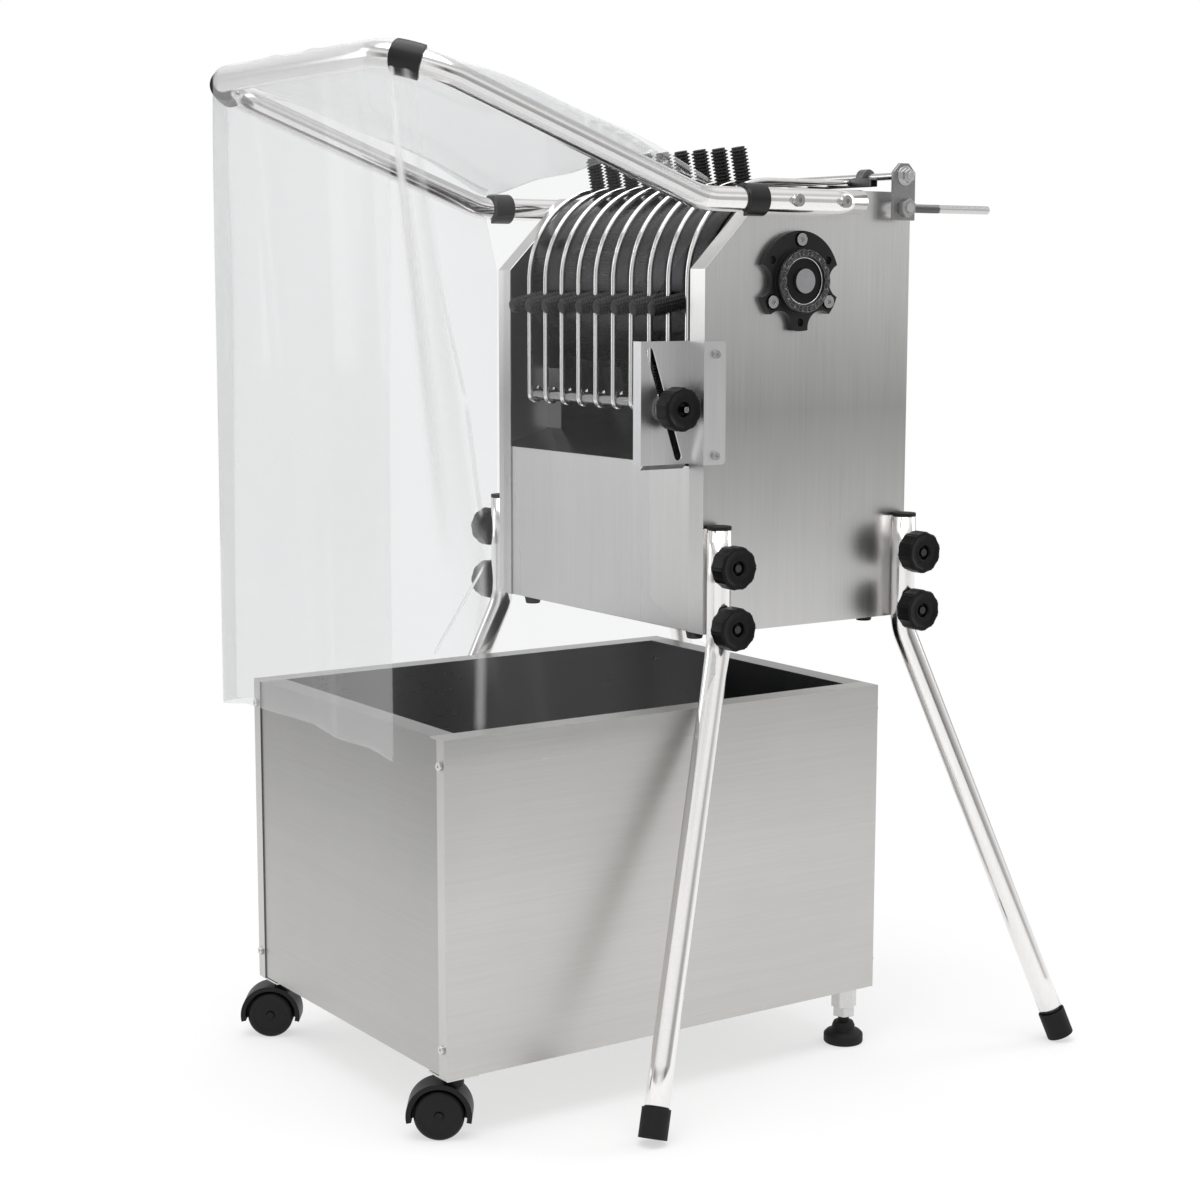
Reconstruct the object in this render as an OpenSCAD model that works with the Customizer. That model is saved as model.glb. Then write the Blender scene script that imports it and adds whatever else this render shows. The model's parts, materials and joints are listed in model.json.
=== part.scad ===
// Drum poultry plucker: a stainless cabinet with a finger drum and an adjustable bar guard, on four
// splayed tube legs, with a tube hood that carries a clear curtain over a wheeled feather tub.
// Millimetres, +Z up, the front faces -Y, the origin is on the floor under the middle of the machine.

/* [Cabinet] */
// Width over the two side panels
cab_w = 392; // [360:1:440]
// Depth from the front flanges to the back edge
cab_d = 270; // [264:1:300]
// Height of the side panels
cab_h = 450; // [440:1:500]
// Height of the cabinet's lower edge above the floor
cab_lift = 473; // [465:1:540]
// Thickness of the sheet steel
sheet = 1.5; // [1:0.1:2]
// Width of the folded flanges
flange_w = 25; // [20:1:30]
// Length of the slanted front top corner, along each side
nose_cut = 81; // [60:1:90]
// Height of the front panel, up to the feather outlet
front_panel_h = 170; // [150:1:174]
// Height of the rear panel
rear_panel_h = 390; // [300:1:400]
// Rise of the feather chute towards the back, degrees
chute_tilt = 16; // [14:0.5:16.5]
// Drum axis behind the front flanges
axis_back = 116; // [112:1:120]
// Drum axis above the cabinet's lower edge
axis_up = 357; // [354:1:364]

/* [Drum and fingers] */
// Diameter of the drum shell
drum_d = 184; // [150:1:186]
// Length of the drum shell
drum_l = 330; // [320:1:334]
// Wall of the drum shell
drum_wall = 2.5; // [2:0.1:4]
// Diameter of the drum shaft
shaft_d = 25; // [20:1:28]
// Radius that the finger tips reach
tip_r = 140; // [130:1:141]
// Diameter of a finger over its ribs
finger_d = 20; // [16:0.5:22]
// Fingers in a row
fingers_per_row = 9; // [5:2:9]
// Ribs on a finger
finger_ribs = 16; // [8:1:18]
// Turn of the first row from the horizontal, degrees
row_turn = 102; // [95:1:110]

/* [Guard] */
// Diameter of a guard bar
bar_d = 6; // [5:0.5:7]
// Spacing of the guard bars, and of the fingers
bar_pitch = 33.3; // [32:0.1:34]
// Radius of the arched guard, to the bar centres
guard_r = 103; // [98:1:106]
// Front rod below the drum axis
front_rod_drop = 127; // [122:1:130]
// Diameter of the front rod
front_rod_d = 8; // [6:1:9]
// Diameter of the rear rod
rear_rod_d = 8; // [6:1:9]
// Rear rod behind the drum axis
rear_rod_back = 131; // [128:1:134]
// Rear rod above the drum axis
rear_rod_up = 109; // [108:1:114]
// Distance between the two holes of a swing link
link_l = 33; // [30:1:36]
// Clamp stud in front of the drum axis
stud_ahead = 145; // [142:1:148]
// Diameter of the clamp stud
stud_d = 6; // [5:1:6]

/* [Guide bracket] */
// Reach of the guide ear in front of the flanges
ear_reach = 59; // [56:1:70]
// Height of the guide ear
ear_h = 124; // [120:1:140]
// Width of the tab on the side panel
tab_w = 26; // [22:1:40]
// Width of the slot
slot_w = 9; // [8.5:0.5:10]
// Height between the ends of the slot
slot_h = 105; // [90:1:106]
// Lean of the slot from the vertical, degrees
slot_lean = 18.5; // [16:0.5:20]

/* [Hood and curtain] */
// Diameter of the hood and leg tubes
tube_d = 25; // [22:1:26]
// Wall of the hood and leg tubes
tube_wall = 1.5; // [1:0.1:2]
// Rear end of a hood arm behind the drum axis
arm_back = 74; // [60:1:90]
// Hood bend in front of the drum axis
arm_bend = 131; // [120:1:140]
// Cross tube in front of the cabinet flanges
hood_reach = 349; // [330:1:380]
// Rise of the hood arms, degrees
arm_rise = 20.3; // [16:0.1:24]
// Radius of the hood's front corners
corner_r = 60; // [50:1:80]
// Height of the curtain's lower hem above the floor
hem_up = 378; // [370:1:396]
// Thickness of the curtain
film_t = 1; // [0.8:0.1:1.5]
// Depth of the curtain's folds at the hem
fold_depth = 7; // [3:0.5:9]

/* [Legs] */
// Length of leg that overlaps the side panel
leg_overlap = 108; // [100:1:130]
// Leg centre from the cabinet's front or back edge
leg_inset = 11; // [8:0.5:16]
// Lean of the lower leg, degrees
leg_lean = 22; // [16:0.5:24]
// Turn of the lean from straight sideways, degrees
leg_turn = 56; // [45:1:60]
// Diameter of a clamp knob
knob_d = 46; // [40:1:50]
// Thickness of a clamp knob
knob_t = 20; // [16:1:24]
// Scallops on a knob
knob_scallops = 10; // [8:1:14]

/* [Tub] */
// Width of the tub
tub_w = 410; // [380:1:412]
// Length of the tub
tub_l = 540; // [480:1:560]
// Height of the tub's walls
tub_h = 335; // [300:1:345]
// Height of the tub's floor above the ground
tub_lift = 65; // [62:1:72]
// Tub front ahead of the cabinet flanges
tub_ahead = 310; // [280:1:315]
// Width of the rim turned inwards
rim_w = 26; // [20:1:35]
// Diameter of a caster wheel
wheel_d = 50; // [44:1:52]

/* [Hidden] */
$fn = 48;

// Clearances
run_gap = 0.05;    // shaft in its bearing, on the radius
fit_gap = 0.1;     // pieces of one body
move_gap = 0.4;    // pieces of different bodies
seam = 0.02;       // straight runs and bends of one tube
// Colours
steel = "silver";
chrome = "gainsboro";
black = "#1c1c1e";
clear = [0.86, 0.9, 0.92, 0.35];

half_w = cab_w / 2;
inner_w = half_w - sheet;
tube_r = tube_d / 2;

// Legs: straight along the panel, one bend, then straight to the rubber foot
leg_bend_r = 60;
foot_r = tube_r + 2;
foot_l = 30;
foot_base = 3;
leg_x = half_w + tube_r + fit_gap;
leg_top = cab_lift + leg_overlap;
leg_run = leg_overlap - 1;
leg_drop = leg_top - leg_run - leg_bend_r * sin(leg_lean) - foot_r * sin(leg_lean);
leg_low = leg_drop / cos(leg_lean);
leg_travel = leg_bend_r * (1 - cos(leg_lean)) + leg_low * sin(leg_lean);

// Curtain planes, outside the hood tube
film_gap = 0.6;
film_x = leg_x + tube_r + film_gap;
film_front = hood_reach + tube_r + film_gap;

// The footprint is centred on the origin: curtain in front, rear feet behind
front_extent = film_front + film_t + fold_depth;
foot_slope = sin(leg_lean) * sin(leg_turn);
rear_extent = cab_d - leg_inset + leg_travel * sin(leg_turn) + foot_r * sqrt(1 - foot_slope * foot_slope);
cab_front = (front_extent - rear_extent) / 2;
axis_y = cab_front + axis_back;
axis_z = cab_lift + axis_up;

module both_sides() {
    children();
    mirror([1, 0, 0]) children();
}
module on_axis() { translate([0, axis_y, axis_z]) children(); }
module in_cabinet() { translate([0, cab_front, cab_lift]) children(); }
// A side outline, drawn as depth and height, made thick along X from x0
module side_plate(x0, t) { translate([x0, 0, 0]) rotate([90, 0, 90]) linear_extrude(t) children(); }
// A round bar along X
module bar_x(d, x0, x1) { translate([x0, 0, 0]) rotate([0, 90, 0]) cylinder(d = d, h = x1 - x0); }
module ring_x(d, bore, x0, x1) {
    difference() {
        bar_x(d, x0, x1);
        bar_x(bore, x0 - 1, x1 + 1);
    }
}
module hex_x(across, x0, x1) {
    translate([x0, 0, 0]) rotate([0, 90, 0]) cylinder(d = across / cos(30), h = x1 - x0, $fn = 6);
}
// Points of an arc about c, from angle a0 to a1
function arc(c, r, a0, a1, steps) =
    [for (k = [0:steps]) let (a = a0 + (a1 - a0) * k / steps) c + r * [cos(a), sin(a)]];
module pipe_section(r, bore_r) {
    difference() {
        circle(r = r);
        if (bore_r > 0) circle(r = bore_r);
    }
}
// A round bar or tube bent in runs: each run is [length, bend angle, bend radius, turn of the bend]
module pipe_run(runs, r, bore_r = 0, i = 0) {
    run_l = runs[i][0];
    bend = runs[i][1];
    bend_r = runs[i][2];
    turn = runs[i][3];
    start = i > 0 ? seam : 0;
    translate([0, 0, start]) linear_extrude(run_l - seam - start) pipe_section(r, bore_r);
    translate([0, 0, run_l]) rotate([0, 0, turn]) if (bend > 0) {
        translate([bend_r, 0, 0]) rotate([90, 0, 0]) rotate([0, 0, 180 - bend])
            rotate_extrude(angle = bend) translate([bend_r, 0]) pipe_section(r, bore_r);
        if (i + 1 < len(runs)) {
            translate([bend_r * (1 - cos(bend)), 0, bend_r * sin(bend)]) rotate([0, bend, 0])
                rotate([0, 0, -turn]) pipe_run(runs, r, bore_r, i + 1);
        }
    }
}

// Cabinet sheet metal
post_z = rear_rod_up - link_l;
stud_z = -front_rod_drop;
tab_screw_up = 54;
tab_screw_down = 48;
tab_screw_in = 13;
flange_bolt_r = 42;
screw_angles = [90, 210, 330];
hood_bolt_ahead = 20;
hood_bolt_behind = 42;
hood_bolt_y = [-hood_bolt_ahead, hood_bolt_behind];
knob_up = 36;
knob_down = 98;
arm_up = cab_h - axis_up - tube_r;
m8 = 8;
m8_head_d = 13;
m8_head_t = 5;
m8_socket = 5;
m8_across = 13;
m5 = 5;
m5_head_d = 9;
m5_head_t = 3;
m5_socket = 3;
function leg_y(rear) = rear ? cab_d - leg_inset : leg_inset;
// Chute surface above the cabinet's lower edge
function chute_z(u) = front_panel_h + (u - 2 * sheet) * tan(chute_tilt);

module panel_outline() {
    polygon([[0, 0], [0, cab_h - nose_cut], [nose_cut, cab_h], [cab_d, cab_h], [cab_d, 0]]);
}
// The front and slanted flanges, as the strip along the panel's edge
module flange_outline() {
    slant = sheet * sqrt(2);
    polygon([[0, 0], [0, cab_h - nose_cut], [nose_cut, cab_h], [nose_cut + slant, cab_h],
        [sheet, cab_h - nose_cut + sheet - slant], [sheet, 0]]);
    translate([cab_d - sheet, 0]) square([sheet, cab_h]);
}
// Holes through a side panel for everything that is bolted to it
module panel_holes() {
    translate([axis_back, axis_up]) {
        circle(d = shaft_d + 14);
        for (a = screw_angles) rotate(a) translate([flange_bolt_r, 0]) circle(d = m8 + 2 * fit_gap);
        for (y = hood_bolt_y) translate([y, arm_up]) circle(d = m8 + 2 * fit_gap);
    }
    for (rear = [false, true], z = [knob_up, knob_down])
        translate([leg_y(rear), leg_overlap - z]) circle(d = m8 + 2 * fit_gap);
}
// The two holes for the guide bracket's tab
module tab_holes() {
    for (z = [tab_screw_up, -tab_screw_down])
        translate([tab_screw_in, axis_up + stud_z + z]) circle(d = m5 + 2 * fit_gap);
}
module side_panel(with_tab) {
    in_cabinet() {
        side_plate(half_w - sheet, sheet) difference() {
            panel_outline();
            panel_holes();
            if (with_tab) tab_holes();
        }
        side_plate(half_w - flange_w, flange_w - sheet) flange_outline();
    }
}
module side_panel_right() { color(steel) side_panel(true); }
module side_panel_left() { color(steel) mirror([1, 0, 0]) side_panel(false); }
module front_panel() {
    color(steel) in_cabinet() translate([-inner_w, sheet, 0]) cube([2 * inner_w, sheet, front_panel_h]);
}
module rear_panel() {
    color(steel) in_cabinet() translate([-inner_w, cab_d - 2 * sheet, 0])
        cube([2 * inner_w, sheet, rear_panel_h]);
}
bumper_in = 40;
bumper_d = 20;
bumper_h = 10;
module base_plate() {
    color(steel) in_cabinet() translate([-inner_w, 2 * sheet, 0])
        cube([2 * inner_w, cab_d - 4 * sheet, sheet]);
}

// Belt drive along the left panel
drive_x = -(inner_w - 8);
belt_w = 12;
rim_t = 2;
pulley_w = belt_w + 2 * rim_t + 1;
drum_pulley_r = 42;
motor_pulley_r = 21;
belt_t = 5;
rim_h = 4;
motor_drop = 272;
motor_r = 58;
motor_l = 230;
motor_shaft_d = 14;
cover_t = 1.2;
cover_half = drum_pulley_r + belt_t + 3;
cover_x = drive_x + pulley_w + 3;

module feather_chute() {
    plate_z = sheet / cos(chute_tilt);
    rear_u = cab_d - 2 * sheet;
    color(steel) in_cabinet() difference() {
        side_plate(-inner_w, 2 * inner_w)
            polygon([[2 * sheet, chute_z(2 * sheet)], [rear_u, chute_z(rear_u)],
                [rear_u, chute_z(rear_u) - plate_z], [2 * sheet, chute_z(2 * sheet) - plate_z]]);
        translate([drive_x - 3, axis_back - cover_half + cover_t, front_panel_h / 2])
            cube([pulley_w + 6 - cover_t, 2 * (cover_half - cover_t), cab_h]);
    }
}
// A three-sided sheet cover round the belt, standing on the chute
module belt_cover() {
    top = axis_up - drum_d / 2 - 8;
    u0 = axis_back - cover_half;
    u1 = axis_back + cover_half;
    color(steel) in_cabinet() {
        for (u = [u0, u1 - cover_t]) side_plate(-inner_w, cover_x + inner_w)
            polygon([[u, chute_z(u)], [u, top], [u + cover_t, top], [u + cover_t, chute_z(u + cover_t)]]);
        side_plate(cover_x - cover_t, cover_t)
            polygon([[u0, chute_z(u0)], [u0, top], [u1, top], [u1, chute_z(u1)]]);
    }
}
module pulley(r, bore) {
    translate([drive_x, 0, 0]) rotate([0, 90, 0]) rotate_extrude()
        polygon([[bore, 0], [r + rim_h, 0], [r + rim_h, rim_t], [r, rim_t], [r, pulley_w - rim_t],
            [r + rim_h, pulley_w - rim_t], [r + rim_h, pulley_w], [bore, pulley_w]]);
}
// Two round ends and the tangents between them, as a closed loop outline
module belt_outline(grow) {
    r1 = drum_pulley_r + grow;
    r2 = motor_pulley_r + grow;
    wrap = asin((r1 - r2) / motor_drop);
    steps = 18;
    polygon(concat(arc([0, 0], r1, -wrap, 180 + wrap, steps),
        arc([0, -motor_drop], r2, 180 + wrap, 360 - wrap, steps)));
}
module drive_belt() {
    color(black) on_axis() side_plate(drive_x + (pulley_w - belt_w) / 2, belt_w) difference() {
        belt_outline(move_gap + belt_t);
        belt_outline(move_gap);
    }
}
module motor() {
    x0 = drive_x + pulley_w + 14;
    bell = 18;
    foot_h = axis_up - motor_drop - sheet;
    color("slategray") on_axis() translate([0, 0, -motor_drop]) difference() {
        union() {
            bar_x(2 * motor_r, x0 + bell, x0 + motor_l - bell);
            bar_x(2 * motor_r - 10, x0, x0 + motor_l);
            for (a = [20:20:340]) if (a != 180 && abs(a - 180) > 50) rotate([a + 90, 0, 0])
                translate([x0 + 2 * bell, -1.5, motor_r - 2]) cube([motor_l - 4 * bell, 3, 8]);
            translate([x0 + 50, -motor_r, -foot_h]) cube([motor_l - 100, 2 * motor_r, 8]);
            for (y = [-motor_r + 8, motor_r - 20]) translate([x0 + 50, y, -foot_h])
                cube([motor_l - 100, 12, foot_h - 20]);
        }
        bar_x(motor_shaft_d + 2 * run_gap, x0 - 1, x0 + 40);
    }
}
module motor_pulley() {
    x1 = drive_x + pulley_w + 14 + 39;
    color(steel) on_axis() translate([0, 0, -motor_drop]) {
        pulley(motor_pulley_r, 0);
        bar_x(motor_shaft_d, drive_x, x1);
    }
}

// Drum, shaft and bearings
disc_t = 6;
flange_t = 8;
boss_t = 14;
insert_d = 48;
module drum_shell() {
    color(steel) on_axis() difference() {
        ring_x(drum_d, drum_d - 2 * drum_wall, -drum_l / 2, drum_l / 2);
        for (row = [0:3], i = [0:fingers_per_row - 1])
            finger_place(row, i) cylinder(d = neck_d + 2 * fit_gap, h = drum_d);
    }
}
module drum_discs() {
    inset = 4;
    outer_x = drum_l / 2 - inset;
    color(steel) on_axis() both_sides()
        ring_x(2 * shell_in - 2 * fit_gap, shaft_d + 2 * fit_gap, outer_x - disc_t, outer_x);
}
module drum_shaft() {
    color(steel) on_axis() bar_x(shaft_d, -half_w - boss_t - 2, half_w + boss_t + 2);
}
module drum_pulley() { color(steel) on_axis() pulley(drum_pulley_r, shaft_d / 2 + fit_gap); }
// Round moulded flange with four scallops that leave three lower lobes, and six bolt holes
flange_r = 51;
scallop_r = 17.5;
scallop_out = 55;
boss_d = 66;
pocket_d = 16;
pocket = 3;
module flange_shape() {
    difference() {
        circle(r = flange_r);
        for (a = [0, 180, 240, 300]) rotate(a) translate([scallop_out, 0]) circle(r = scallop_r);
        for (a = [30:60:330]) rotate(a) translate([flange_bolt_r, 0]) circle(d = m8 + 2 * fit_gap);
        circle(d = insert_d + 2 * fit_gap);
    }
}
module bearing_flanges() {
    color(black) on_axis() both_sides() {
        difference() {
            side_plate(half_w, flange_t) flange_shape();
            for (a = screw_angles) rotate([a, 0, 0]) translate([0, flange_bolt_r, 0])
                bar_x(pocket_d, half_w + flange_t - pocket, half_w + 2 * flange_t);
        }
        ring_x(boss_d, insert_d + 2 * fit_gap, half_w + flange_t, half_w + boss_t);
    }
}
module bearing_inserts() {
    color(chrome) on_axis() both_sides()
        ring_x(insert_d, shaft_d + 2 * run_gap, half_w + 1, half_w + boss_t - 2);
}

// Rubber fingers
neck_d = 16;
head_d = 22;
head_t = 4;
shell_in = drum_d / 2 - drum_wall;
head_r = sqrt(pow(shell_in - fit_gap, 2) - pow(head_d / 2, 2));
finger_base = drum_d / 2 + 0.5;
finger_tip_cut = 1.5;
rib_depth = 1.4;
module finger_place(row, i) {
    translate([(i - (fingers_per_row - 1) / 2) * bar_pitch, 0, 0])
        rotate([row_turn + 90 * row - 90, 0, 0]) children();
}
module finger() {
    pitch = (tip_r - finger_tip_cut - finger_base) / finger_ribs;
    top_r = finger_d / 2;
    ribs = [for (k = [0:finger_ribs - 1]) each [
        [top_r, finger_base + k * pitch], [top_r, finger_base + (k + 0.45) * pitch],
        [top_r - rib_depth, finger_base + (k + 0.75) * pitch]]];
    rotate_extrude($fn = 32) polygon(concat(
        [[0, head_r - head_t], [head_d / 2, head_r - head_t], [head_d / 2, head_r], [neck_d / 2, head_r],
            [neck_d / 2, finger_base]],
        ribs,
        [[top_r, tip_r - finger_tip_cut], [top_r - finger_tip_cut, tip_r], [0, tip_r]]));
}
module finger_row(row) {
    color(black) on_axis() for (i = [0:fingers_per_row - 1]) finger_place(row, i) finger();
}
module finger_row_1() { finger_row(0); }
module finger_row_2() { finger_row(1); }
module finger_row_3() { finger_row(2); }
module finger_row_4() { finger_row(3); }

// Guide bracket on the right panel: one folded sheet with a tab, a strip over the flange and a slotted ear
ear_x = half_w - flange_w - 3;
ear_above = 67;
slot_above = 56;
ear_lip = 12;
bottom_lip = 5;
tab_round = 4;
module slot_outline() {
    up = [-slot_above * tan(slot_lean), slot_above];
    down = [(slot_h - slot_above) * tan(slot_lean), slot_above - slot_h];
    steps = 10;
    translate([axis_back - stud_ahead, axis_up + stud_z])
        polygon(concat(arc(up, slot_w / 2, slot_lean, 180 + slot_lean, steps),
            arc(down, slot_w / 2, 180 + slot_lean, 360 + slot_lean, steps)));
}
module tab_outline(z0) {
    steps = 5;
    x = tab_w - tab_round;
    polygon(concat([[-sheet, z0 + ear_h], [-sheet, z0]],
        arc([x, z0 + tab_round], tab_round, -90, 0, steps),
        arc([x, z0 + ear_h - tab_round], tab_round, 0, 90, steps)));
}
module guide_bracket() {
    z0 = axis_up + stud_z + ear_above - ear_h;
    in_cabinet() {
        side_plate(half_w, sheet) difference() {
            tab_outline(z0);
            tab_holes();
        }
        translate([ear_x, -sheet, z0]) cube([half_w - ear_x, sheet, ear_h]);
        side_plate(ear_x, sheet) difference() {
            translate([-ear_reach, z0]) square([ear_reach - sheet, ear_h]);
            slot_outline();
        }
        translate([ear_x - ear_lip, -ear_reach, z0]) cube([ear_lip, sheet, ear_h]);
        // the slanted stiffening fold along the lower edge, clear of the front lip and the strip
        translate([0, -2 * sheet, 0]) rotate([90, 0, 0]) linear_extrude(ear_reach - 4 * sheet)
            polygon([[ear_x, z0], [ear_x + sheet, z0], [ear_x + sheet - bottom_lip, z0 - bottom_lip],
                [ear_x - bottom_lip, z0 - bottom_lip]]);
    }
}
module guide_brackets() { color(chrome) guide_bracket(); }

// Pivot posts on the panels, with the rest rods screwed into them: a threaded root and a bright grip
post_d = 20;
post_l = 11.6;
post_stud_d = 10;
link_x = half_w + post_l + move_gap;
link_t = 4;
link_w = 30;
link_end = 13;
post_nut_t = 8;
post_nut_across = 17;
rest_rod_d = 8;
rest_rod_l = 124;
grip_d = 9;
grip_l = 71;
rod_seat = 6;
module at_pivot() { on_axis() translate([0, rear_rod_back, post_z]) children(); }
module pivot_posts() {
    color(steel) at_pivot() both_sides() {
        difference() {
            union() {
                bar_x(post_d, half_w, half_w + post_l);
                bar_x(post_stud_d, half_w, link_x + link_t + move_gap + post_nut_t + 2);
            }
            translate([half_w + post_l / 2, post_d / 2 - rod_seat, 0]) rotate([-90, 0, 0])
                cylinder(d = rest_rod_d + 2 * fit_gap, h = post_d);
        }
        translate([half_w + post_l / 2, post_d / 2 - rod_seat, 0]) rotate([-90, 0, 0]) {
            cylinder(d = rest_rod_d, h = rest_rod_l);
            translate([0, 0, rest_rod_l - grip_l]) cylinder(d = grip_d, h = grip_l);
        }
    }
}
// Swing links, flat bars with a cut top, that carry the rear rod
module link_outline() {
    cut = 9;
    top = link_l + link_end;
    half = link_w / 2;
    polygon([[-half, -link_end], [half, -link_end], [half, top - cut], [half - cut, top], [cut - half, top],
        [-half, top - cut]]);
}
module link_plates() {
    color("dimgray") at_pivot() both_sides() side_plate(link_x, link_t) difference() {
        link_outline();
        circle(d = post_stud_d + 2 * run_gap);
        translate([0, link_l]) circle(d = rear_rod_d + 2 * fit_gap);
    }
}
rod_nut_t = 6.5;
rod_washer_t = 1.5;
rod_washer_d = 20;
rod_over_nut = 3;
module rear_rod() {
    end_x = link_x + link_t + rod_washer_t + rod_nut_t + rod_over_nut;
    bore = rear_rod_d + 2 * fit_gap;
    color(chrome) on_axis() translate([0, rear_rod_back, rear_rod_up]) {
        bar_x(rear_rod_d, -end_x, end_x);
        both_sides() {
            ring_x(rod_washer_d, bore, link_x + link_t, link_x + link_t + rod_washer_t);
            difference() {
                hex_x(m8_across, link_x + link_t + rod_washer_t,
                    link_x + link_t + rod_washer_t + rod_nut_t);
                bar_x(bore, link_x, end_x + 1);
            }
            difference() {
                hex_x(m8_across, link_x - rod_nut_t, link_x);
                bar_x(bore, link_x - rod_nut_t - 1, link_x + 1);
            }
        }
    }
}

// Guard: ten bent bars between a rear strip and the front rod
bar_r = bar_d / 2;
eye_r = front_rod_d / 2 + bar_r + fit_gap;
eye_turn = 255;
front_rod_y = -guard_r + eye_r;
strip_gap = 10;
strip_w = 12;
strip_rear = rear_rod_back - strip_gap;
strip_front = strip_rear - strip_w;
strip_low = 4.5;
strip_high = 4;
strip_half = inner_w - 8;
lug_d = 18;
lug_w = 12;
bars = 10;
function bar_x_at(i) = (i - (bars - 1) / 2) * bar_pitch;
module guard_bar(i) {
    translate([bar_x_at(i), strip_front, guard_r]) rotate([90, 90, 0])
        pipe_run([[strip_front, 90, guard_r, 0], [front_rod_drop, eye_turn, eye_r, 0]], bar_r);
}
module guard_bars(first, last) {
    color(chrome) on_axis() for (i = [first:last]) guard_bar(i);
}
module guard_bars_left() { guard_bars(0, 2); }
module guard_bars_middle() { guard_bars(3, 6); }
module guard_bars_right() { guard_bars(7, 9); }
module guard_rear_strip() {
    z0 = guard_r - strip_low;
    depth = strip_low + strip_high;
    wall = 2;
    nose = 6;
    color("dimgray") on_axis() difference() {
        union() {
            difference() {
                translate([0, 0, z0]) linear_extrude(depth)
                    polygon([[-strip_half + nose, strip_front], [strip_half - nose, strip_front],
                        [strip_half, strip_front + strip_w / 2], [strip_half - nose, strip_rear],
                        [-strip_half + nose, strip_rear], [-strip_half, strip_front + strip_w / 2]]);
                translate([-strip_half, strip_front + wall, z0 - 1])
                    cube([2 * strip_half, strip_w - 2 * wall, depth - wall + 1]);
            }
            both_sides() translate([0, rear_rod_back, rear_rod_up]) {
                bar_x(lug_d, bar_x_at(bars - 1) - lug_w / 2, bar_x_at(bars - 1) + lug_w / 2);
                translate([bar_x_at(bars - 1) - lug_w / 2, -strip_gap - wall, -lug_d / 2])
                    cube([lug_w, strip_gap + wall, lug_d / 2]);
            }
        }
        translate([0, rear_rod_back, rear_rod_up]) bar_x(rear_rod_d + 2 * run_gap, -half_w, half_w);
    }
}
// The front rod, with an arm at its right end that carries the clamp stud
arm_t = 4;
arm_h = 14;
arm_x = bar_x_at(bars - 1) + bar_r + 3;
rod_over = 4;
collar_d = 28;
collar_x0 = ear_x + sheet + move_gap;
collar_x1 = collar_x0 + 12;
knob_x0 = collar_x1 + move_gap;
stud_tip = 4;
module guard_front_rod() {
    color(chrome) on_axis() translate([0, 0, stud_z]) {
        translate([0, front_rod_y, 0])
            bar_x(front_rod_d, bar_x_at(0) - bar_r - rod_over, arm_x + fit_gap);
        side_plate(arm_x, arm_t) {
            translate([-stud_ahead, -arm_h / 2]) square([front_rod_y + stud_ahead, arm_h]);
            for (y = [-stud_ahead, front_rod_y]) translate([y, 0]) circle(d = arm_h);
        }
        translate([0, -stud_ahead, 0]) bar_x(stud_d, arm_x, knob_x0 + knob_t + stud_tip);
    }
}
// Sleeves between the bar eyes, and the clamp collar on the stud
module guard_spacers() {
    sleeve_d = 13;
    end_gap = 0.2;
    color(chrome) on_axis() translate([0, 0, stud_z]) {
        translate([0, front_rod_y, 0]) for (i = [0:bars - 2])
            ring_x(sleeve_d, front_rod_d + 2 * fit_gap, bar_x_at(i) + bar_r + end_gap,
                bar_x_at(i + 1) - bar_r - end_gap);
        translate([0, -stud_ahead, 0]) ring_x(collar_d, stud_d + 2 * fit_gap, collar_x0, collar_x1);
    }
}
// A scalloped clamp knob on an X axis, from x0 outwards, with a recess round the stud's end
module knob(x0, bore) {
    scallop_d = 8;
    side_plate(x0, knob_t) difference() {
        circle(d = knob_d);
        circle(d = bore + 2 * run_gap);
        for (a = [0:360 / knob_scallops:359]) rotate(a)
            translate([knob_d / 2 + 2, 0]) circle(d = scallop_d, $fn = 24);
    }
}
module clamp_knob(x0, bore) {
    recess_d = 15;
    recess = 7;
    difference() {
        knob(x0, bore);
        bar_x(recess_d, x0 + knob_t - recess, x0 + knob_t + 1);
    }
}
module guard_knob_right() {
    color(black) on_axis() translate([0, -stud_ahead, stud_z]) clamp_knob(knob_x0, stud_d);
}

// Hood: one tube bent up and round, bolted along the panels
hood_bend_r = 80;
hood_tangent = hood_bend_r * tan(arm_rise / 2);
bend_u = axis_back - arm_bend;
hood_runs = [[arm_back + arm_bend - hood_tangent, arm_rise, hood_bend_r, 0],
    [(hood_reach + bend_u) / cos(arm_rise) - hood_tangent - corner_r, 90, corner_r, 90],
    [leg_x - corner_r, 0, 0, 0]];
// Height of the hood tube's centre above the cabinet's lower edge
function arm_z(u) = let (x = bend_u - u, in_bend = x + hood_tangent)
    axis_up + arm_up + (in_bend <= 0 ? 0 : x >= hood_tangent * cos(arm_rise) ? x * tan(arm_rise)
        : hood_bend_r - sqrt(hood_bend_r * hood_bend_r - in_bend * in_bend));
module at_arm_end() { on_axis() translate([leg_x, arm_back, arm_up]) rotate([90, -90, 0]) children(); }
module at_hood_corner() {
    bend_end = hood_bend_r * [1 - cos(arm_rise), 0, sin(arm_rise)];
    at_arm_end() translate([0, 0, hood_runs[0][0]] + bend_end) rotate([0, arm_rise, 0])
        translate([0, 0, hood_runs[1][0]]) rotate([0, 0, 90]) children();
}
module hood_tube() {
    color(chrome) both_sides() difference() {
        at_arm_end() pipe_run(hood_runs, tube_r, tube_r - tube_wall);
        on_axis() for (y = hood_bolt_y) translate([0, y, arm_up])
            bar_x(m8 + 2 * fit_gap, half_w - 1, leg_x + tube_d);
    }
}
clip_wall = 4;
clip_l = 24;
clip_back_right = 48;
clip_back_left = 9;
clip_open = 80;
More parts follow.
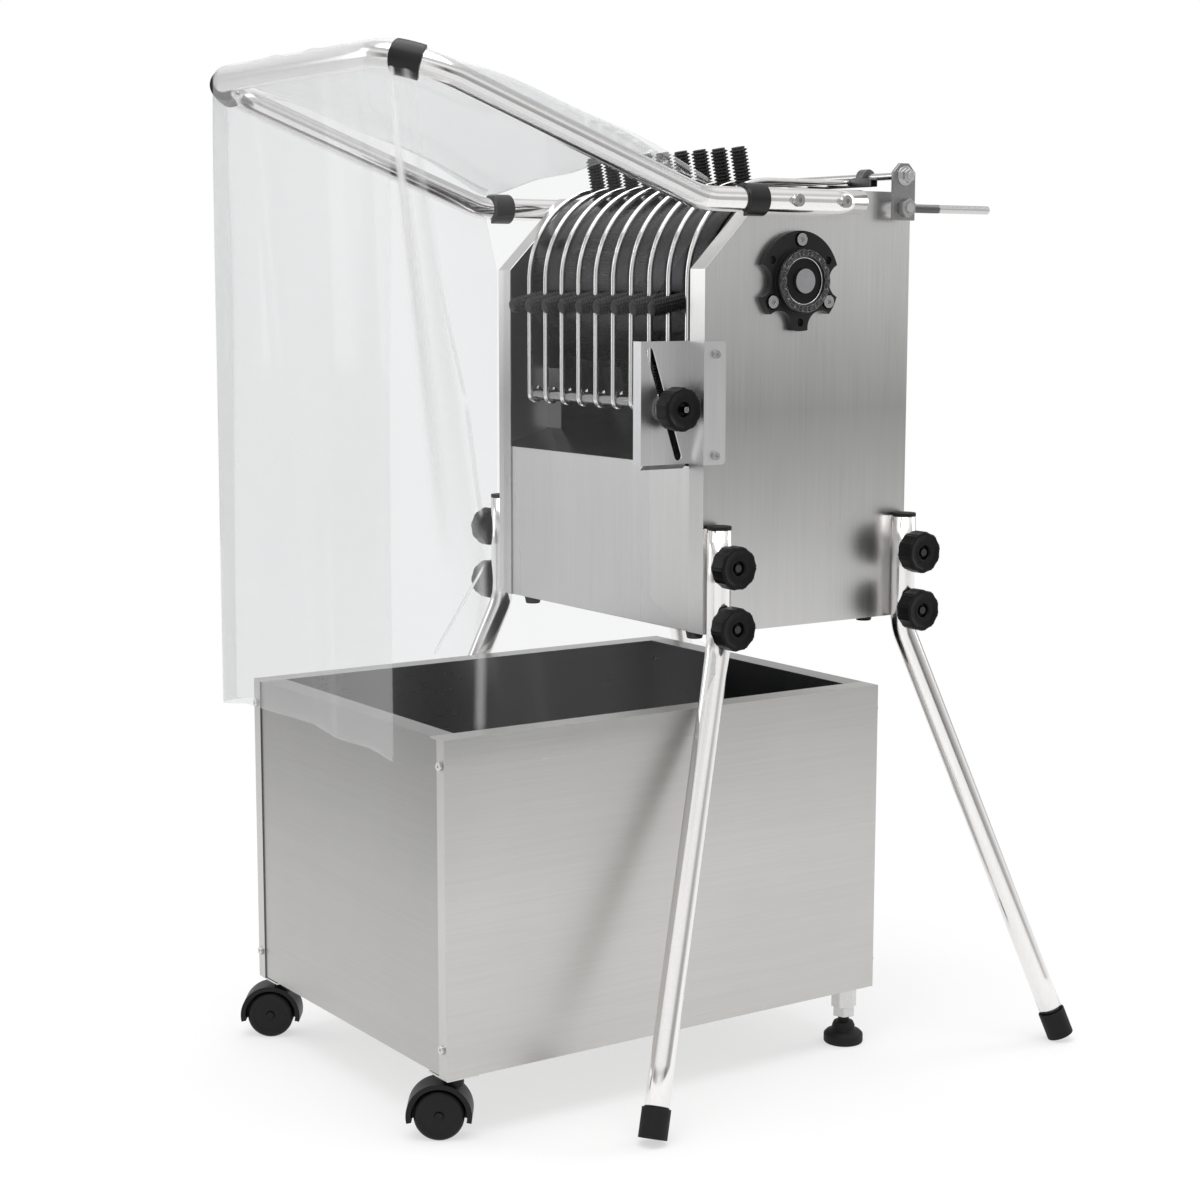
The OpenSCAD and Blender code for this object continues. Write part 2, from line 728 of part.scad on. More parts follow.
module clip_section(bore_r) {
    difference() {
        circle(r = bore_r + clip_wall);
        circle(r = bore_r);
        rotate(-clip_open / 2) square(bore_r + 2 * clip_wall);
    }
}
module corner_clip() {
    bore_r = tube_r + fit_gap;
    sweep = 24;
    at_hood_corner() translate([corner_r, 0, 0]) rotate([90, 0, 0]) rotate([0, 0, 180 - 45 - sweep / 2])
        rotate_extrude(angle = sweep) translate([corner_r, 0]) rotate(180) clip_section(bore_r);
}
module arm_clip(u) {
    in_cabinet() translate([leg_x, u + clip_l / 2, axis_up + arm_up]) rotate([90, 0, 0])
        linear_extrude(clip_l) rotate(180 + 45) clip_section(tube_r + fit_gap);
}
module curtain_clips() {
    color(black) {
        both_sides() corner_clip();
        arm_clip(clip_back_right);
        mirror([1, 0, 0]) arm_clip(clip_back_left);
    }
}

// Curtain: four hanging stretches of clear film, each a grid of points made one film thick.
// Rows run from the tube to the hem, and folds deepen towards the hem.
side_rear_u = -36;
side_cols = 26;
corner_cols = 8;
film_rows = 6;
front_cols = 40;
roof_cols = 12;
roof_rows = 16;
film_corner = corner_r + tube_r + film_gap;
film_drop = 4;
clip_notch = 20;
side_folds = 3;
front_folds = 5;
roof_hem_u = -4;
roof_rise = 26;
// A closed shell between two like grids of points
module film(outer, inner) {
    rows = len(outer);
    cols = len(outer[0]);
    n = rows * cols;
    points = concat([for (r = outer) each r], [for (r = inner) each r]);
    quads = [for (r = [0:rows - 2], c = [0:cols - 2]) each [
        [r * cols + c, r * cols + c + 1, (r + 1) * cols + c],
        [r * cols + c + 1, (r + 1) * cols + c + 1, (r + 1) * cols + c]]];
    back = [for (f = quads) [f[2] + n, f[1] + n, f[0] + n]];
    rim = concat([for (c = [0:cols - 1]) c], [for (r = [1:rows - 1]) r * cols + cols - 1],
        [for (c = [cols - 2:-1:0]) (rows - 1) * cols + c], [for (r = [rows - 2:-1:1]) r * cols]);
    edges = [for (k = [0:len(rim) - 1]) let (a = rim[k], b = rim[(k + 1) % len(rim)]) each [
        [b, a, a + n], [b, a + n, b + n]]];
    polyhedron(points = points, faces = concat(quads, back, edges));
}
// One smooth fold pushed outwards, of unit depth
function fold(s, folds) = (1 - cos(360 * folds * s)) / 2;
function side_len() = film_front - film_corner + side_rear_u;
// Plan of the side stretch: straight along the arm, then round the front corner; [x, u, out x, out u, fold]
function side_plan(k) = k <= side_cols
    ? let (s = k / side_cols) [film_x, side_rear_u - s * side_len(), 1, 0, fold(s, side_folds)]
    : let (a = 90 * (k - side_cols) / corner_cols, c = [film_x - film_corner, film_corner - film_front])
        [c[0] + film_corner * cos(a), c[1] - film_corner * sin(a), cos(a), -sin(a), 0];
function at_clip(k) = k > side_cols + 1 && k < side_cols + corner_cols - 1;
function side_point(k, t, out) = let (p = side_plan(k), push = out + fold_depth * p[4] * t,
    top = arm_z(p[1]) - film_drop - (at_clip(k) ? clip_notch : 0))
    [p[0] + p[2] * push, p[1] + p[3] * push, top + (hem_up - cab_lift - top) * t];
module curtain_side() {
    grid = [for (out = [film_t, 0]) [for (j = [0:film_rows]) [for (k = [0:side_cols + corner_cols])
        side_point(k, j / film_rows, out)]]];
    color(clear) in_cabinet() film(grid[0], grid[1]);
}
module curtain_side_right() { curtain_side(); }
module curtain_side_left() { mirror([1, 0, 0]) curtain_side(); }
module curtain_front() {
    half = film_x - film_corner - 0.5;
    top = arm_z(-hood_reach) - film_drop;
    grid = [for (out = [film_t, 0]) [for (j = [0:film_rows]) [for (k = [0:front_cols])
        let (s = k / front_cols, t = j / film_rows, push = out + fold_depth * fold(s, front_folds) * t)
        [half * (1 - 2 * s), -film_front - push, top + (hem_up - cab_lift - top) * t]]]];
    color(clear) in_cabinet() film(grid[0], grid[1]);
}
// The roof lies on the arms and the cross tube and bows up between them, most at its rear hem
roof_round = corner_r + 45;
function roof_half(u) = let (e = max(0, roof_round - (u + hood_reach)))
    leg_x - roof_round + sqrt(max(0, roof_round * roof_round - e * e));
function roof_point(j, k, out) = let (f = j / roof_rows, u = roof_hem_u - (hood_reach + roof_hem_u) * f,
    x = 2 * k / roof_cols - 1, rise = roof_rise * (1 - x * x) * (1 - f * f))
    [x * roof_half(u), u, arm_z(u) + (tube_r + film_gap) / cos(arm_rise) + out + rise];
module curtain_roof() {
    grid = [for (out = [film_t, 0]) [for (j = [0:roof_rows]) [for (k = [0:roof_cols])
        roof_point(j, k, out)]]];
    color(clear) in_cabinet() film(grid[0], grid[1]);
}

// Legs, with black plugs at the top and rubber feet
module at_leg(right, rear) {
    mirror([right ? 0 : 1, 0, 0]) in_cabinet() translate([leg_x, leg_y(rear), leg_overlap])
        rotate([180, 0, rear ? leg_turn : -leg_turn]) children();
}
module each_leg() { for (right = [true, false], rear = [false, true]) at_leg(right, rear) children(); }
leg_runs = [[leg_run, leg_lean, leg_bend_r, 0], [leg_low - foot_base, 0, 0, 0]];
module at_foot() {
    translate([leg_bend_r * (1 - cos(leg_lean)), 0, leg_run + leg_bend_r * sin(leg_lean)])
        rotate([0, leg_lean, 0]) translate([0, 0, leg_low]) children();
}
// One leg, cross-drilled for its two studs
module leg(turn) {
    difference() {
        pipe_run(leg_runs, tube_r, tube_r - tube_wall);
        for (z = [knob_up, knob_down]) translate([0, 0, z]) rotate([0, 0, turn])
            bar_x(m8 + 2 * fit_gap, -tube_d, tube_d);
    }
}
module legs() {
    color(chrome) for (right = [true, false], rear = [false, true])
        at_leg(right, rear) leg(rear ? leg_turn : -leg_turn);
}
module rubber_feet() {
    plug = 12;
    plug_top = 4;
    color(black) {
        each_leg() translate([0, 0, -plug_top]) {
            cylinder(r = tube_r, h = plug_top);
            cylinder(r = tube_r - tube_wall - fit_gap, h = plug_top + plug);
        }
        each_leg() at_foot() difference() {
            translate([0, 0, -foot_l]) cylinder(r = foot_r, h = foot_l);
            translate([0, 0, -foot_l - 1]) cylinder(r = tube_r + fit_gap, h = foot_l + 1 - foot_base);
        }
        both_sides() in_cabinet() for (u = [bumper_in / 2, cab_d - bumper_in / 2])
            translate([half_w - bumper_in, u, -bumper_h])
                cylinder(d1 = bumper_d - 4, d2 = bumper_d, h = bumper_h);
    }
}
// The lower knobs stand clear of the leg where it starts to bend outwards
bend_in_r = leg_bend_r - tube_r;
knob_past_bend = max(0, knob_down + knob_d / 2 - leg_run);
bend_out = bend_in_r - sqrt(bend_in_r * bend_in_r - knob_past_bend * knob_past_bend);
leg_knob_x = leg_x + tube_r + bend_out * cos(leg_turn) + 2 * move_gap;
module leg_studs() {
    head_t = 5;
    color(steel) both_sides() for (rear = [false, true], z = [knob_up, knob_down]) in_cabinet()
        translate([0, leg_y(rear), leg_overlap - z]) {
            hex_x(m8_across, inner_w - head_t, inner_w);
            bar_x(m8, inner_w - head_t, leg_knob_x + knob_t - 2);
        }
}
module leg_knob(rear, z) {
    color(black) in_cabinet() translate([0, leg_y(rear), leg_overlap - z]) clamp_knob(leg_knob_x, m8);
}
module leg_knob_1() { leg_knob(false, knob_up); }
module leg_knob_2() { leg_knob(false, knob_down); }
module leg_knob_3() { leg_knob(true, knob_up); }
module leg_knob_4() { leg_knob(true, knob_down); }
module leg_knob_5() { mirror([1, 0, 0]) leg_knob_1(); }
module leg_knob_6() { mirror([1, 0, 0]) leg_knob_2(); }
module leg_knob_7() { mirror([1, 0, 0]) leg_knob_3(); }
module leg_knob_8() { mirror([1, 0, 0]) leg_knob_4(); }

// Screws of the bearings, hood arms, pivot posts and the guide bracket's tab
module screw_x(d, head_d, head_t, x_in, x_out, socket) {
    difference() {
        union() {
            bar_x(d, x_in, x_out);
            bar_x(head_d, x_out, x_out + head_t);
        }
        hex_x(socket, x_out + head_t / 2, x_out + head_t + 1);
    }
}
module cabinet_fasteners() {
    nut_t = 5;
    color(chrome) both_sides() {
        on_axis() {
            for (a = screw_angles) rotate([a, 0, 0]) translate([0, flange_bolt_r, 0])
                screw_x(m8, m8_head_d, m8_head_t, inner_w - nut_t, half_w + flange_t - pocket, m8_socket);
            for (y = hood_bolt_y) translate([0, y, arm_up])
                screw_x(m8, m8_head_d, m8_head_t, inner_w - nut_t, leg_x + tube_r, m8_socket);
        }
        at_pivot() difference() {
            hex_x(post_nut_across, link_x + link_t + move_gap, link_x + link_t + move_gap + post_nut_t);
            bar_x(post_stud_d + 2 * fit_gap, link_x, link_x + 4 * post_nut_t);
        }
    }
    color(chrome) on_axis() for (z = [tab_screw_up, -tab_screw_down])
        translate([0, tab_screw_in - axis_back, stud_z + z])
            screw_x(m5, m5_head_d, m5_head_t, inner_w - nut_t, half_w + sheet, m5_socket);
}

// Tub: two folded side sheets, two end panels and a floor
tub_x = tub_w / 2;
tub_y0 = cab_front - tub_ahead;
tub_fold = 14;
corner_screw_up = 30;
corner_screw_down = 26;
corner_screw_z = [corner_screw_up, tub_h - corner_screw_down];
module in_tub() { translate([0, tub_y0, tub_lift]) children(); }
module tub_side() {
    in_tub() difference() {
        union() {
            translate([tub_x - sheet, 0, 0]) cube([sheet, tub_l, tub_h]);
            for (y = [0, tub_l - sheet]) translate([tub_x - tub_fold, y, 0])
                cube([tub_fold - sheet, sheet, tub_h]);
            translate([tub_x - rim_w, 0, tub_h - sheet]) cube([rim_w, tub_l, sheet]);
            translate([tub_x - tub_fold, 0, 0]) cube([tub_fold, tub_l, sheet]);
        }
        tub_screw_holes();
    }
}
module tub_screw_holes() {
    for (z = corner_screw_z) translate([tub_x - tub_fold / 2, -1, z]) rotate([-90, 0, 0])
        cylinder(d = m5 + 2 * fit_gap, h = tub_l + 2);
}
module tub_sides() { color(steel) both_sides() tub_side(); }
module tub_end() {
    translate([-tub_x + sheet, sheet, sheet]) cube([tub_w - 2 * sheet, sheet, tub_h - 2 * sheet]);
    translate([-tub_x + rim_w, 0, tub_h - sheet]) cube([tub_w - 2 * rim_w, rim_w, sheet]);
}
module tub_ends() {
    color(steel) in_tub() difference() {
        union() {
            tub_end();
            translate([0, tub_l, 0]) mirror([0, 1, 0]) tub_end();
        }
        both_sides() tub_screw_holes();
    }
}
module tub_floor() {
    color(steel) in_tub() translate([-tub_x + sheet, 2 * sheet, sheet])
        cube([tub_w - 2 * sheet, tub_l - 4 * sheet, sheet]);
}
// Corner screws, caster plates, and the hex posts and lock nuts of the levelling feet
caster_in = 20;
plate_t = 2;
plate_side = 36;
foot_in = 22;
foot_d = 43;
foot_rubber_h = 24;
stem_d = 12;
post_hex = 24;
foot_post_h = 24;
lock_nut_h = 10;
pin_d = 10;
module at_caster(right) {
    translate([(right ? 1 : -1) * (tub_x - caster_in), tub_y0 + caster_in, 0]) children();
}
module at_level_foot(right) {
    translate([(right ? 1 : -1) * (tub_x - foot_in), tub_y0 + tub_l - foot_in, 0]) children();
}
module tub_screw() {
    rotate([90, 0, 0]) {
        translate([0, 0, -8]) cylinder(d = m5, h = 8);
        difference() {
            cylinder(d = m5_head_d, h = m5_head_t);
            translate([0, 0, m5_head_t / 2]) cylinder(d = m5_socket, h = m5_head_t, $fn = 6);
        }
    }
}
module tub_hardware() {
    bore = stem_d + 2 * run_gap;
    nut_top = tub_lift - foot_post_h;
    nut_turn = 20;
    color(chrome) {
        both_sides() in_tub() for (z = corner_screw_z) {
            translate([tub_x - tub_fold / 2, 0, z]) tub_screw();
            translate([tub_x - tub_fold / 2, tub_l, z]) mirror([0, 1, 0]) tub_screw();
        }
        for (right = [true, false]) {
            at_caster(right) translate([0, 0, tub_lift - plate_t]) difference() {
                translate([-plate_side / 2, -plate_side / 2, 0]) cube([plate_side, plate_side, plate_t]);
                translate([0, 0, -1]) cylinder(d = pin_d + 2 * run_gap, h = plate_t + 2);
            }
            at_level_foot(right) difference() {
                translate([0, 0, nut_top]) {
                    cylinder(d = post_hex / cos(30), h = foot_post_h, $fn = 6);
                    translate([0, 0, -lock_nut_h]) rotate(nut_turn)
                        cylinder(d = post_hex / cos(30) - 2, h = lock_nut_h, $fn = 6);
                }
                translate([0, 0, nut_top - lock_nut_h - 1])
                    cylinder(d = bore, h = foot_post_h + lock_nut_h - 1);
            }
        }
    }
}

// Twin-wheel casters, swivelled so that the wheels face the side
caster_turn = 56;
trail = 14;
wheel_r = wheel_d / 2;
web_t = 5;
wheel_t = 12;
axle_d = 8;
hood_in = wheel_r + 2.5;
hood_out = hood_in + 5;
hood_w = web_t + 2 * wheel_t + 2;
hood_wrap = 205;
module at_wheel(right) { at_caster(right) rotate(caster_turn) translate([-trail, 0, wheel_r]) children(); }
// Wheel axis along the local Y
module on_axle() { rotate([90, 0, 0]) children(); }
module caster_fork(right) {
    boss_top = tub_lift - plate_t - move_gap;
    color(black) {
        at_wheel(right) on_axle() {
            rotate(90 - hood_wrap / 2) {
                rotate_extrude(angle = hood_wrap) translate([hood_in, -hood_w / 2])
                    square([hood_out - hood_in, hood_w]);
                rotate_extrude(angle = hood_wrap) translate([0, -web_t / 2]) square([hood_in, web_t]);
            }
            translate([0, 0, -hood_w / 2]) cylinder(d = axle_d, h = hood_w);
        }
        at_caster(right) {
            translate([0, 0, wheel_r + hood_in]) cylinder(d = 20, h = boss_top - wheel_r - hood_in);
            translate([0, 0, wheel_r + hood_in]) cylinder(d = pin_d, h = tub_lift - wheel_r - hood_in);
        }
    }
}
module caster_fork_right() { caster_fork(true); }
module caster_fork_left() { caster_fork(false); }
module caster_wheels(right) {
    gap = web_t / 2 + move_gap;
    bore_r = axle_d / 2 + run_gap;
    edge = 2.5;
    hub_r = wheel_r - 8;
    hub_t = wheel_t - 1.2;
    color("#2a2a2c") at_wheel(right) on_axle() for (m = [0, 1]) mirror([0, 0, m]) translate([0, 0, gap])
        rotate_extrude() polygon([[bore_r, 0], [wheel_r, 0], [wheel_r, wheel_t - edge],
            [wheel_r - edge, wheel_t], [hub_r + 2, wheel_t], [hub_r, hub_t], [bore_r, hub_t]]);
}
module caster_wheels_right() { caster_wheels(true); }
module caster_wheels_left() { caster_wheels(false); }

// Levelling feet: a threaded stem on a rubber foot
module levelling_foot(right) {
    r = foot_d / 2;
    color(black) at_level_foot(right) {
        rotate_extrude() polygon([[0, 0], [r - 1.5, 0], [r, 1.5], [r, 10], [r - 3, 13], [r - 9, 15],
            [r - 9, 19], [r - 11, foot_rubber_h], [0, foot_rubber_h]]);
        cylinder(d = stem_d, h = tub_lift - 6);
    }
}
module levelling_foot_right() { levelling_foot(true); }
module levelling_foot_left() { levelling_foot(false); }

side_panel_right();
side_panel_left();
front_panel();
rear_panel();
base_plate();
feather_chute();
belt_cover();
bearing_flanges();
bearing_inserts();
cabinet_fasteners();
motor();
motor_pulley();
drive_belt();
drum_shell();
drum_discs();
drum_shaft();
drum_pulley();
finger_row_1();
finger_row_2();
finger_row_3();
finger_row_4();
guide_brackets();
pivot_posts();
link_plates();
rear_rod();
guard_bars_left();
guard_bars_middle();
guard_bars_right();
guard_rear_strip();
guard_front_rod();
guard_spacers();
guard_knob_right();
hood_tube();
curtain_clips();
curtain_roof();
curtain_front();
curtain_side_right();
curtain_side_left();
legs();
rubber_feet();
leg_studs();
leg_knob_1();
leg_knob_2();
leg_knob_3();
leg_knob_4();
leg_knob_5();
leg_knob_6();
leg_knob_7();
leg_knob_8();
tub_sides();
tub_ends();
tub_floor();
tub_hardware();
caster_fork_right();
caster_fork_left();
caster_wheels_right();
caster_wheels_left();
levelling_foot_right();
levelling_foot_left();
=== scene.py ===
import json

import bmesh
import bpy
import numpy as np
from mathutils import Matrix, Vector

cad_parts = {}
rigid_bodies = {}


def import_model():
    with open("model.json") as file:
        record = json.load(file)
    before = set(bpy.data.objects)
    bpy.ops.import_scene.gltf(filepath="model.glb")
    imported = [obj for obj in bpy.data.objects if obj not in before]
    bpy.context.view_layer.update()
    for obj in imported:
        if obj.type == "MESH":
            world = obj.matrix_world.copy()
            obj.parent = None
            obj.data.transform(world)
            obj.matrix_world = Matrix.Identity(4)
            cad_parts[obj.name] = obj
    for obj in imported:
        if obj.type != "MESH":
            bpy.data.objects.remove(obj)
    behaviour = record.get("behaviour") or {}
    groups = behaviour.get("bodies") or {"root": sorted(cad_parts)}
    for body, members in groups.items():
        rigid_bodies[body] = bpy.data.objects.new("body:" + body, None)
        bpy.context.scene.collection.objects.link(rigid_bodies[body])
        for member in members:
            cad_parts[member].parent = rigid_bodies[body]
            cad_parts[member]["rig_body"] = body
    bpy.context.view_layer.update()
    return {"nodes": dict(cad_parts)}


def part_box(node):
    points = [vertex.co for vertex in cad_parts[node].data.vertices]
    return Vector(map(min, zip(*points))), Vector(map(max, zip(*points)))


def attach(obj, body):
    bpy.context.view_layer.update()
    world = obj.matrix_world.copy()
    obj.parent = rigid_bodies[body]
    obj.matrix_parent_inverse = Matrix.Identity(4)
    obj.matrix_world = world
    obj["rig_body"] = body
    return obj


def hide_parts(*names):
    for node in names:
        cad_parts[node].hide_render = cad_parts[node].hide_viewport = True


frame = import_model()

# Camera: in front of the machine and to its right, at four fifths of its height, looking a little down
# at it. The lens and the place are those that give the photograph's perspective.
eye = (2.0216, -1.3952, 0.829)
eye_turn = np.radians(55.8)
eye_down = np.radians(8.0)
eye_roll = np.radians(-0.1)
camera_data = bpy.data.cameras.new("camera")
camera_data.sensor_width = 36.0
camera_data.lens = 67.95
camera_data.clip_end = 100
camera = bpy.data.objects.new("camera", camera_data)
camera.location = eye
camera.rotation_euler = (np.pi / 2 - eye_down, eye_roll, eye_turn)
bpy.context.scene.collection.objects.link(camera)
bpy.context.scene.camera = camera
bpy.context.scene.view_settings.view_transform = "Standard"


# Studio: a white sweep with a pale floor, soft boxes overhead, at the left and behind, and upright bright
# and dark screens all round, so that polished steel shows bright stripes with grey between them.
class Wire:
    """A socket of a node tree. Arithmetic on it adds Math nodes, and node() adds any other node."""

    def __init__(self, tree, socket=None):
        self.tree = tree
        self.socket = socket

    def node(self, kind, settings=None, inputs=None, out=0):
        """Adds a node: its settings first (a ramp's stops are [place, colour] pairs), then its inputs."""
        new = self.tree.nodes.new(kind)
        for key, value in (settings or {}).items():
            if key == "stops":
                ramp = new.color_ramp
                while len(ramp.elements) < len(value):
                    ramp.elements.new(0.5)
                for element, (place, colour) in zip(ramp.elements, value):
                    element.position = place
                    element.color = colour
            else:
                setattr(new, key, value)
        for key, value in (inputs or {}).items():
            if isinstance(value, Wire):
                self.tree.links.new(value.socket, new.inputs[key])
            else:
                new.inputs[key].default_value = value
        return Wire(self.tree, new.outputs[out] if len(new.outputs) else None)

    def math(self, operation, a, b=0.0):
        return self.node("ShaderNodeMath", {"operation": operation}, {0: a, 1: b})

    def __add__(self, other):
        return self.math("ADD", self, other)

    def __radd__(self, other):
        return self.math("ADD", other, self)

    def __sub__(self, other):
        return self.math("SUBTRACT", self, other)

    def __rsub__(self, other):
        return self.math("SUBTRACT", other, self)

    def __mul__(self, other):
        return self.math("MULTIPLY", self, other)

    def __rmul__(self, other):
        return self.math("MULTIPLY", other, self)

    def __pow__(self, other):
        return self.math("POWER", self, other)

    def clamped(self):
        return self.node("ShaderNodeClamp", {}, {0: self})

    def between(self, low, high):
        """0 below low and 1 above high, with a smooth step between."""
        return self.node("ShaderNodeMapRange", {"interpolation_type": "SMOOTHSTEP"},
                         {0: self, 1: low, 2: high})


def grey(level):
    return (level, level, level, 1.0)


world = bpy.data.worlds.new("studio")
bpy.context.scene.world = world
world.use_nodes = True
world.node_tree.nodes.clear()
room = Wire(world.node_tree)
toward_eye = (np.sin(eye_turn), -np.cos(eye_turn), 0.0)
leftward = (-np.cos(eye_turn), -np.sin(eye_turn), 0.0)
ray = room.node("ShaderNodeTexCoord", out="Generated")
part_along = {"operation": "DOT_PRODUCT"}
facing = room.node("ShaderNodeVectorMath", part_along, {0: ray, 1: toward_eye}, out="Value")
aside = room.node("ShaderNodeVectorMath", part_along, {0: ray, 1: leftward}, out="Value")
height = room.node("ShaderNodeSeparateXYZ", {}, {0: ray}, out="Z")
around = room.math("ARCTAN2", aside, facing) * (0.5 / np.pi) + 0.5
walls = room.node("ShaderNodeValToRGB", {"stops": [
    [0.0, grey(1.0)], [0.04, grey(0.8)], [0.08, grey(0.3)], [0.13, grey(0.5)], [0.19, grey(0.95)],
    [0.25, grey(0.8)], [0.31, grey(0.46)], [0.36, grey(0.35)], [0.41, grey(0.12)], [0.46, grey(0.6)],
    [0.5, grey(0.8)], [0.56, grey(0.95)], [0.62, grey(0.55)], [0.68, grey(0.25)], [0.75, grey(0.8)],
    [0.81, grey(0.9)], [0.88, grey(0.75)], [0.93, grey(0.4)], [0.97, grey(0.9)], [1.0, grey(1.0)]]},
    {0: around})
ceiling = room.node("ShaderNodeValToRGB", {"stops": [
    [0.0, grey(0.5)], [0.15, grey(0.4)], [0.3, grey(0.9)], [0.45, grey(1.0)], [0.62, grey(0.55)],
    [0.8, grey(0.95)], [1.0, grey(1.0)]]}, {0: height})
above_walls = height.between(0.1, 0.3)
studio = room.node("ShaderNodeMix", {"data_type": "RGBA"}, {0: above_walls, 6: walls, 7: ceiling}, out=2)
camera_ray = room.node("ShaderNodeLightPath", out="Is Camera Ray")
through_ray = room.node("ShaderNodeLightPath", out="Is Transmission Ray")
glossy_ray = room.node("ShaderNodeLightPath", out="Is Glossy Ray")
fill = room.node("ShaderNodeMix", {"data_type": "RGBA"}, {0: glossy_ray, 6: grey(0.66), 7: studio}, out=2)
seen = (camera_ray + through_ray).clamped()
sky = room.node("ShaderNodeMix", {"data_type": "RGBA"}, {0: seen, 6: fill, 7: grey(1.0)}, out=2)
background = room.node("ShaderNodeBackground", {}, {"Color": sky, "Strength": 1.0})
room.node("ShaderNodeOutputWorld", {}, {"Surface": background})


def soft_box(name, place, turn, size, power):
    """A rectangular area lamp: its place, its turn in degrees, its width and length, and its power."""
    data = bpy.data.lights.new(name, "AREA")
    data.shape = "RECTANGLE"
    data.size, data.size_y = size
    data.energy = power
    lamp = bpy.data.objects.new(name, data)
    lamp.location = place
    lamp.rotation_euler = np.radians(turn)
    bpy.context.scene.collection.objects.link(lamp)


soft_box("overhead", (0.3, -0.5, 2.7), (0, 0, 0), (2.4, 2.4), 46)
soft_box("left_box", (-1.9, -1.9, 1.5), (68, 0, -45), (0.9, 1.8), 9)
soft_box("rear_box", (0.5, 2.35, 1.6), (66, 0, 168), (0.8, 1.7), 12)


def new_object(name, verts, faces, smooth=True):
    """A mesh object at the origin from arrays of points and of quads."""
    mesh = bpy.data.meshes.new(name)
    mesh.from_pydata(np.asarray(verts, float).tolist(), [], np.asarray(faces).tolist())
    mesh.polygons.foreach_set("use_smooth", np.full(len(mesh.polygons), smooth))
    mesh.update()
    made = bpy.data.objects.new(name, mesh)
    bpy.context.scene.collection.objects.link(made)
    return made


def grid_faces(rows, cols, wrap=False):
    """Quads of a grid of points in row order; wrap joins the last column to the first."""
    span = cols if wrap else cols - 1
    r, c = np.meshgrid(np.arange(rows - 1), np.arange(span), indexing="ij")
    nxt = (c + 1) % cols
    return np.stack([r * cols + c, r * cols + nxt, (r + 1) * cols + nxt, (r + 1) * cols + c],
                    axis=-1).reshape(-1, 4)


floor_reach = 5.0
floor_rings = 24
floor_sides = 64
floor_r = np.linspace(0, 1, floor_rings)[:, None] ** 1.5 * floor_reach
floor_a = np.linspace(0, 2 * np.pi, floor_sides, endpoint=False)[None, :]
floor_verts = np.stack([floor_r * np.cos(floor_a), floor_r * np.sin(floor_a), 0 * floor_r * floor_a], -1)
floor = new_object("floor", floor_verts.reshape(-1, 3), grid_faces(floor_rings, floor_sides, True))


def blank(name):
    """A new material's tree with nothing in it, and its Object coordinates."""
    material = bpy.data.materials.new(name)
    material.use_nodes = True
    material.node_tree.nodes.clear()
    start = Wire(material.node_tree)
    return material, start.node("ShaderNodeTexCoord", out="Object")


paper, place = blank("white_sweep")
radius = place.node("ShaderNodeVectorMath", {"operation": "LENGTH"}, {0: place}, out="Value")
matt = place.node("ShaderNodeBsdfDiffuse", {}, {"Color": grey(0.97)})
glow = place.node("ShaderNodeEmission", {}, {"Color": grey(1.0), "Strength": 1.0})
glow_near = 0.58
glow_share = glow_near + radius.between(0.75, 1.7) * (1 - glow_near)
sweep = place.node("ShaderNodeMixShader", {}, {0: glow_share, 1: matt, 2: glow})
place.node("ShaderNodeOutputMaterial", {}, {"Surface": sweep})
floor.data.materials.append(paper)


# Cabinet: folded stainless sheet with a fine vertical brushed grain, two side panels with turned flanges,
# a low front panel, a back and a base, screwed together.
def tint(colour, amount):
    return tuple(min(1.0, c * amount) for c in colour) + (1.0,)


def noise(place, scale, detail=3.0, stretch=(1, 1, 1)):
    """Noise from 0 to 1, stretched along the axes by dividing the frequency."""
    spread = place.node("ShaderNodeMapping", {}, {"Vector": place, "Scale": stretch})
    return place.node("ShaderNodeTexNoise", {}, {"Vector": spread, "Scale": scale, "Detail": detail})


def mixed(mask, a, b):
    """Colour a where the mask is 0 and b where it is 1."""
    return mask.node("ShaderNodeMix", {"data_type": "RGBA"}, {0: mask, 6: a, 7: b}, out=2)


def metal(name, colour, rough, grain, depth=0.00002, patch=0.1, scratch=0.0, painted_light_bands=()):
    """Bare metal with a directional grain (frequency along X, Y and Z), soft stains, stray scratches and,
    where given, painted light: broad bands of reflected light and shade over its height as (height, level)
    pairs."""
    material, place = blank(name)
    streaks = noise(place, 1.0, 4.0, grain)
    broad = noise(place, 1.0, 2.0, tuple(g * 0.12 for g in grain))
    stains = noise(place, 5.0, 3.0)
    smears = noise(place, 17.0, 4.0, (1, 1, 0.5))
    tone = (streaks * 0.55 + broad * 0.15 + stains * 0.3).between(0.3, 0.7)
    base = mixed(tone, tint(colour, 0.95), tint(colour, 1.04))
    # Painted light: the bands multiply the colour by a ramp over the height, lighter and darker where the
    # surroundings are reflected.
    if painted_light_bands:
        low, high = painted_light_bands[0][0], painted_light_bands[-1][0]
        up = place.node("ShaderNodeSeparateXYZ", {}, {0: place}, out="Z")
        stops = [[(at - low) / (high - low), grey(level)] for at, level in painted_light_bands]
        level = place.node("ShaderNodeValToRGB", {"stops": stops}, {0: (up - low) * (1 / (high - low))})
        base = place.node("ShaderNodeMix", {"data_type": "RGBA", "blend_type": "MULTIPLY"},
                          {0: 1.0, 6: base, 7: level}, out=2)
    marks = noise(place, 55.0, 2.0, (1.0, 0.16, 1.0)).between(0.70, 0.74)
    marks = marks * noise(place, 7.0, 1.0).between(0.5, 0.62)
    gloss = rough + (streaks - 0.5) * (rough * 0.35) + (smears - 0.5) * patch + marks * scratch
    bump = place.node("ShaderNodeBump", {}, {"Strength": 0.2, "Distance": depth,
                                             "Height": streaks - marks * min(1.0, scratch * 8)})
    shader = place.node("ShaderNodeBsdfPrincipled", {}, {
        "Base Color": base, "Metallic": 1.0, "Roughness": gloss.clamped(), "Normal": bump})
    place.node("ShaderNodeOutputMaterial", {}, {"Surface": shader})
    return material


